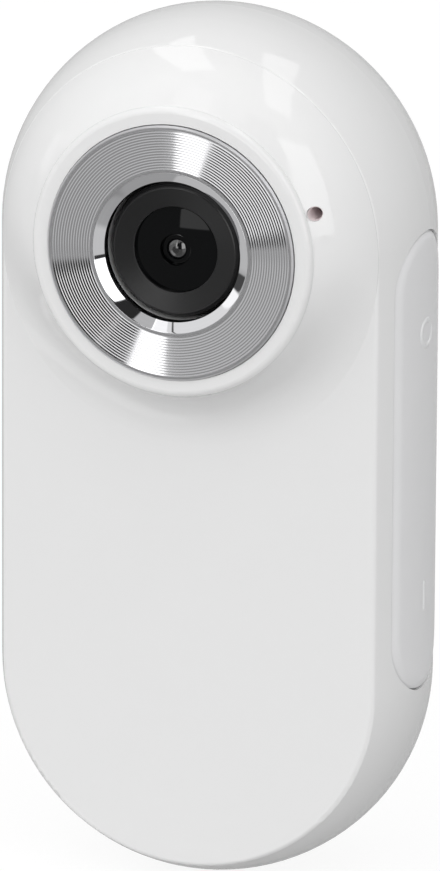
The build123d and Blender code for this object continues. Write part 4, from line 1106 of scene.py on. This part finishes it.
def reflected_room(tree, direction, studio):
    """What metal and glass see: a pale room with white panels, dark where the camera's
    mirror image stands and before the lens."""
    parts = add_node(tree, "ShaderNodeSeparateXYZ", {0: direction}).outputs
    sockets = {0: parts["Y"], 1: -1.0}
    ahead = add_node(tree, "ShaderNodeMath", sockets, operation="MULTIPLY").outputs[0]
    sockets = {0: parts["X"], 1: ahead}
    azimuth = add_node(tree, "ShaderNodeMath", sockets, operation="ARCTAN2").outputs[0]
    elevation = add_node(tree, "ShaderNodeMath", {0: parts["Z"]}, operation="ARCSINE").outputs[0]
    span = {"From Min": -ROOM_SPAN, "From Max": ROOM_SPAN}
    sockets = {"Value": parts["Z"], **span, "To Min": studio.room_foot, "To Max": studio.room_top}
    room = add_node(tree, "ShaderNodeMapRange", sockets).outputs["Result"]
    room = panelled(tree, azimuth, elevation, room, PANELS)
    towards = camera_ways(studio)[0]
    mirrored = -towards + 2 * towards.dot(FRONT) * FRONT
    near = patch(tree, direction, mirrored, inner=24, outer=27)
    room = add_node(tree, "ShaderNodeMix", {0: near, 2: room, 3: studio.room_dark}).outputs[0]
    return panelled(tree, azimuth, elevation, room, NEAR_PANELS)


def set_world(studio):
    """White studio. Its soft light is level + rise * up + fore * forward, with a bright
    patch behind the case, reflections see the room and the camera sees plain white."""
    world = bpy.data.worlds.new("studio")
    world.use_nodes = True
    tree = world.node_tree
    tree.nodes.clear()
    direction = add_node(tree, "ShaderNodeTexCoord").outputs["Generated"]
    sockets = {0: direction, 1: (0, -studio.fore, studio.rise)}
    lean = add_node(tree, "ShaderNodeVectorMath", sockets, operation="DOT_PRODUCT")
    sockets = {0: lean.outputs["Value"], 1: studio.level}
    soft = add_node(tree, "ShaderNodeMath", sockets, operation="ADD").outputs[0]
    lamp = patch(tree, direction, -FRONT, inner=12, outer=26)
    soft = add_node(tree, "ShaderNodeMix", {0: lamp, 2: soft, 3: studio.behind}).outputs[0]

    room = reflected_room(tree, direction, studio)
    path = add_node(tree, "ShaderNodeLightPath").outputs
    sockets = {0: path["Is Glossy Ray"], 2: soft, 3: room}
    level = add_node(tree, "ShaderNodeMix", sockets).outputs[0]
    sockets = {0: path["Is Camera Ray"], 1: path["Is Transmission Ray"]}
    seen = add_node(tree, "ShaderNodeMath", sockets, operation="MAXIMUM").outputs[0]
    level = add_node(tree, "ShaderNodeMix", {0: seen, 2: level, 3: 1.0}).outputs[0]
    back = add_node(tree, "ShaderNodeBackground", {"Color": level, "Strength": 1.0})
    add_node(tree, "ShaderNodeOutputWorld", {"Surface": back.outputs["Background"]})
    bpy.context.scene.world = world


def add_floor(studio, height):
    """Wide pale floor that the case stands on. To the camera it is nearly white of its own
    accord and takes only a share of its shade from the light, so its shadows stay faint."""
    material, tree, place = new_material("pale_studio_paper")
    seen = add_node(tree, "ShaderNodeLightPath").outputs["Is Camera Ray"]
    sockets = {"Vector": place, "Scale": 1 / (0.5 * MM), "Detail": 3.0}
    grain = add_node(tree, "ShaderNodeTexNoise", sockets).outputs["Fac"]
    sockets = {0: seen, 2: studio.floor_bounce, 3: studio.shadow_share}
    tone = add_node(tree, "ShaderNodeMix", sockets).outputs[0]
    sockets = {0: seen, 2: 0.0, 3: studio.backdrop - studio.shadow_share}
    glow = add_node(tree, "ShaderNodeMix", sockets).outputs[0]
    white = studio.floor_colour
    sockets = {0: grain, 6: darker(white, 0.99), 7: list(white)}
    paper = add_node(tree, "ShaderNodeMix", sockets, data_type="RGBA").outputs[2]
    sockets = {"Base Color": tone, "Roughness": 1.0, "Specular IOR Level": 0.0}
    sockets.update({"Emission Color": paper, "Emission Strength": glow})
    shader = add_node(tree, "ShaderNodeBsdfPrincipled", sockets)
    add_node(tree, "ShaderNodeOutputMaterial", {"Surface": shader.outputs["BSDF"]})
    reach = studio.reach
    corners = [(-reach, -reach), (reach, -reach), (reach, reach), (-reach, reach)]
    mesh = bpy.data.meshes.new("floor")
    mesh.from_pydata([(x, y, height) for x, y in corners], [], [(0, 1, 2, 3)])
    mesh.materials.append(material)
    floor = bpy.data.objects.new("floor", mesh)
    bpy.context.scene.collection.objects.link(floor)
    floor.visible_glossy = False


class COLLARCAM_OT_set_studio(bpy.types.Operator):
    """Set the camera, the lamps, the world and the floor"""

    bl_idname = "collarcam.set_studio"
    bl_label = "Set Studio"

    def execute(self, context):
        studio = context.scene.collar_camera.studio
        context.scene.view_settings.view_transform = "Standard"
        add_camera(studio)
        set_world(studio)
        add_floor(studio, cad_box[0].z - studio.gap)
        for softbox in SOFTBOXES:
            add_softbox(*softbox, studio.glow)
        return {"FINISHED"}


class COLLARCAM_PT_panel(bpy.types.Panel):
    """Lists the pieces and their settings"""

    bl_label = "Collar Camera"
    bl_idname = "COLLARCAM_PT_panel"
    bl_space_type = "VIEW_3D"
    bl_region_type = "UI"
    bl_category = "Collar Camera"

    def draw(self, context):
        settings = context.scene.collar_camera
        groups = (
            (settings.shell, ("collarcam.dress_shells",)),
            (settings.ring, ("collarcam.turn_ring",)),
            (settings.lens, ("collarcam.fit_lens",)),
            (settings.flap, ("collarcam.mould_flap",)),
            (settings.clip, ("collarcam.finish_clip", "collarcam.wind_spring")),
            (None, ("collarcam.finish_inside",)),
            (settings.studio, ("collarcam.set_studio",)),
        )
        for group, operators in groups:
            box = self.layout.box()
            for name in group.__annotations__ if group else ():
                box.prop(group, name)
            for operator in operators:
                box.operator(operator)


CLASSES = (
    ShellSettings,
    RingSettings,
    LensSettings,
    FlapSettings,
    ClipSettings,
    StudioSettings,
    CollarCameraSettings,
    COLLARCAM_OT_dress_shells,
    COLLARCAM_OT_turn_ring,
    COLLARCAM_OT_fit_lens,
    COLLARCAM_OT_mould_flap,
    COLLARCAM_OT_wind_spring,
    COLLARCAM_OT_finish_clip,
    COLLARCAM_OT_finish_inside,
    COLLARCAM_OT_set_studio,
    COLLARCAM_PT_panel,
)


def register():
    """Register every class and hang the settings on the scene."""
    for each in CLASSES:
        bpy.utils.register_class(each)
    bpy.types.Scene.collar_camera = PointerProperty(type=CollarCameraSettings)


def unregister():
    """Take the settings and the classes away again."""
    del bpy.types.Scene.collar_camera
    for each in reversed(CLASSES):
        bpy.utils.unregister_class(each)


def main():
    """Make every piece in order."""
    register()
    bpy.ops.collarcam.dress_shells()
    bpy.ops.collarcam.turn_ring()
    bpy.ops.collarcam.fit_lens()
    bpy.ops.collarcam.mould_flap()
    bpy.ops.collarcam.finish_clip()
    bpy.ops.collarcam.wind_spring()
    bpy.ops.collarcam.finish_inside()
    bpy.ops.collarcam.set_studio()


if __name__ == "__main__":
    main()
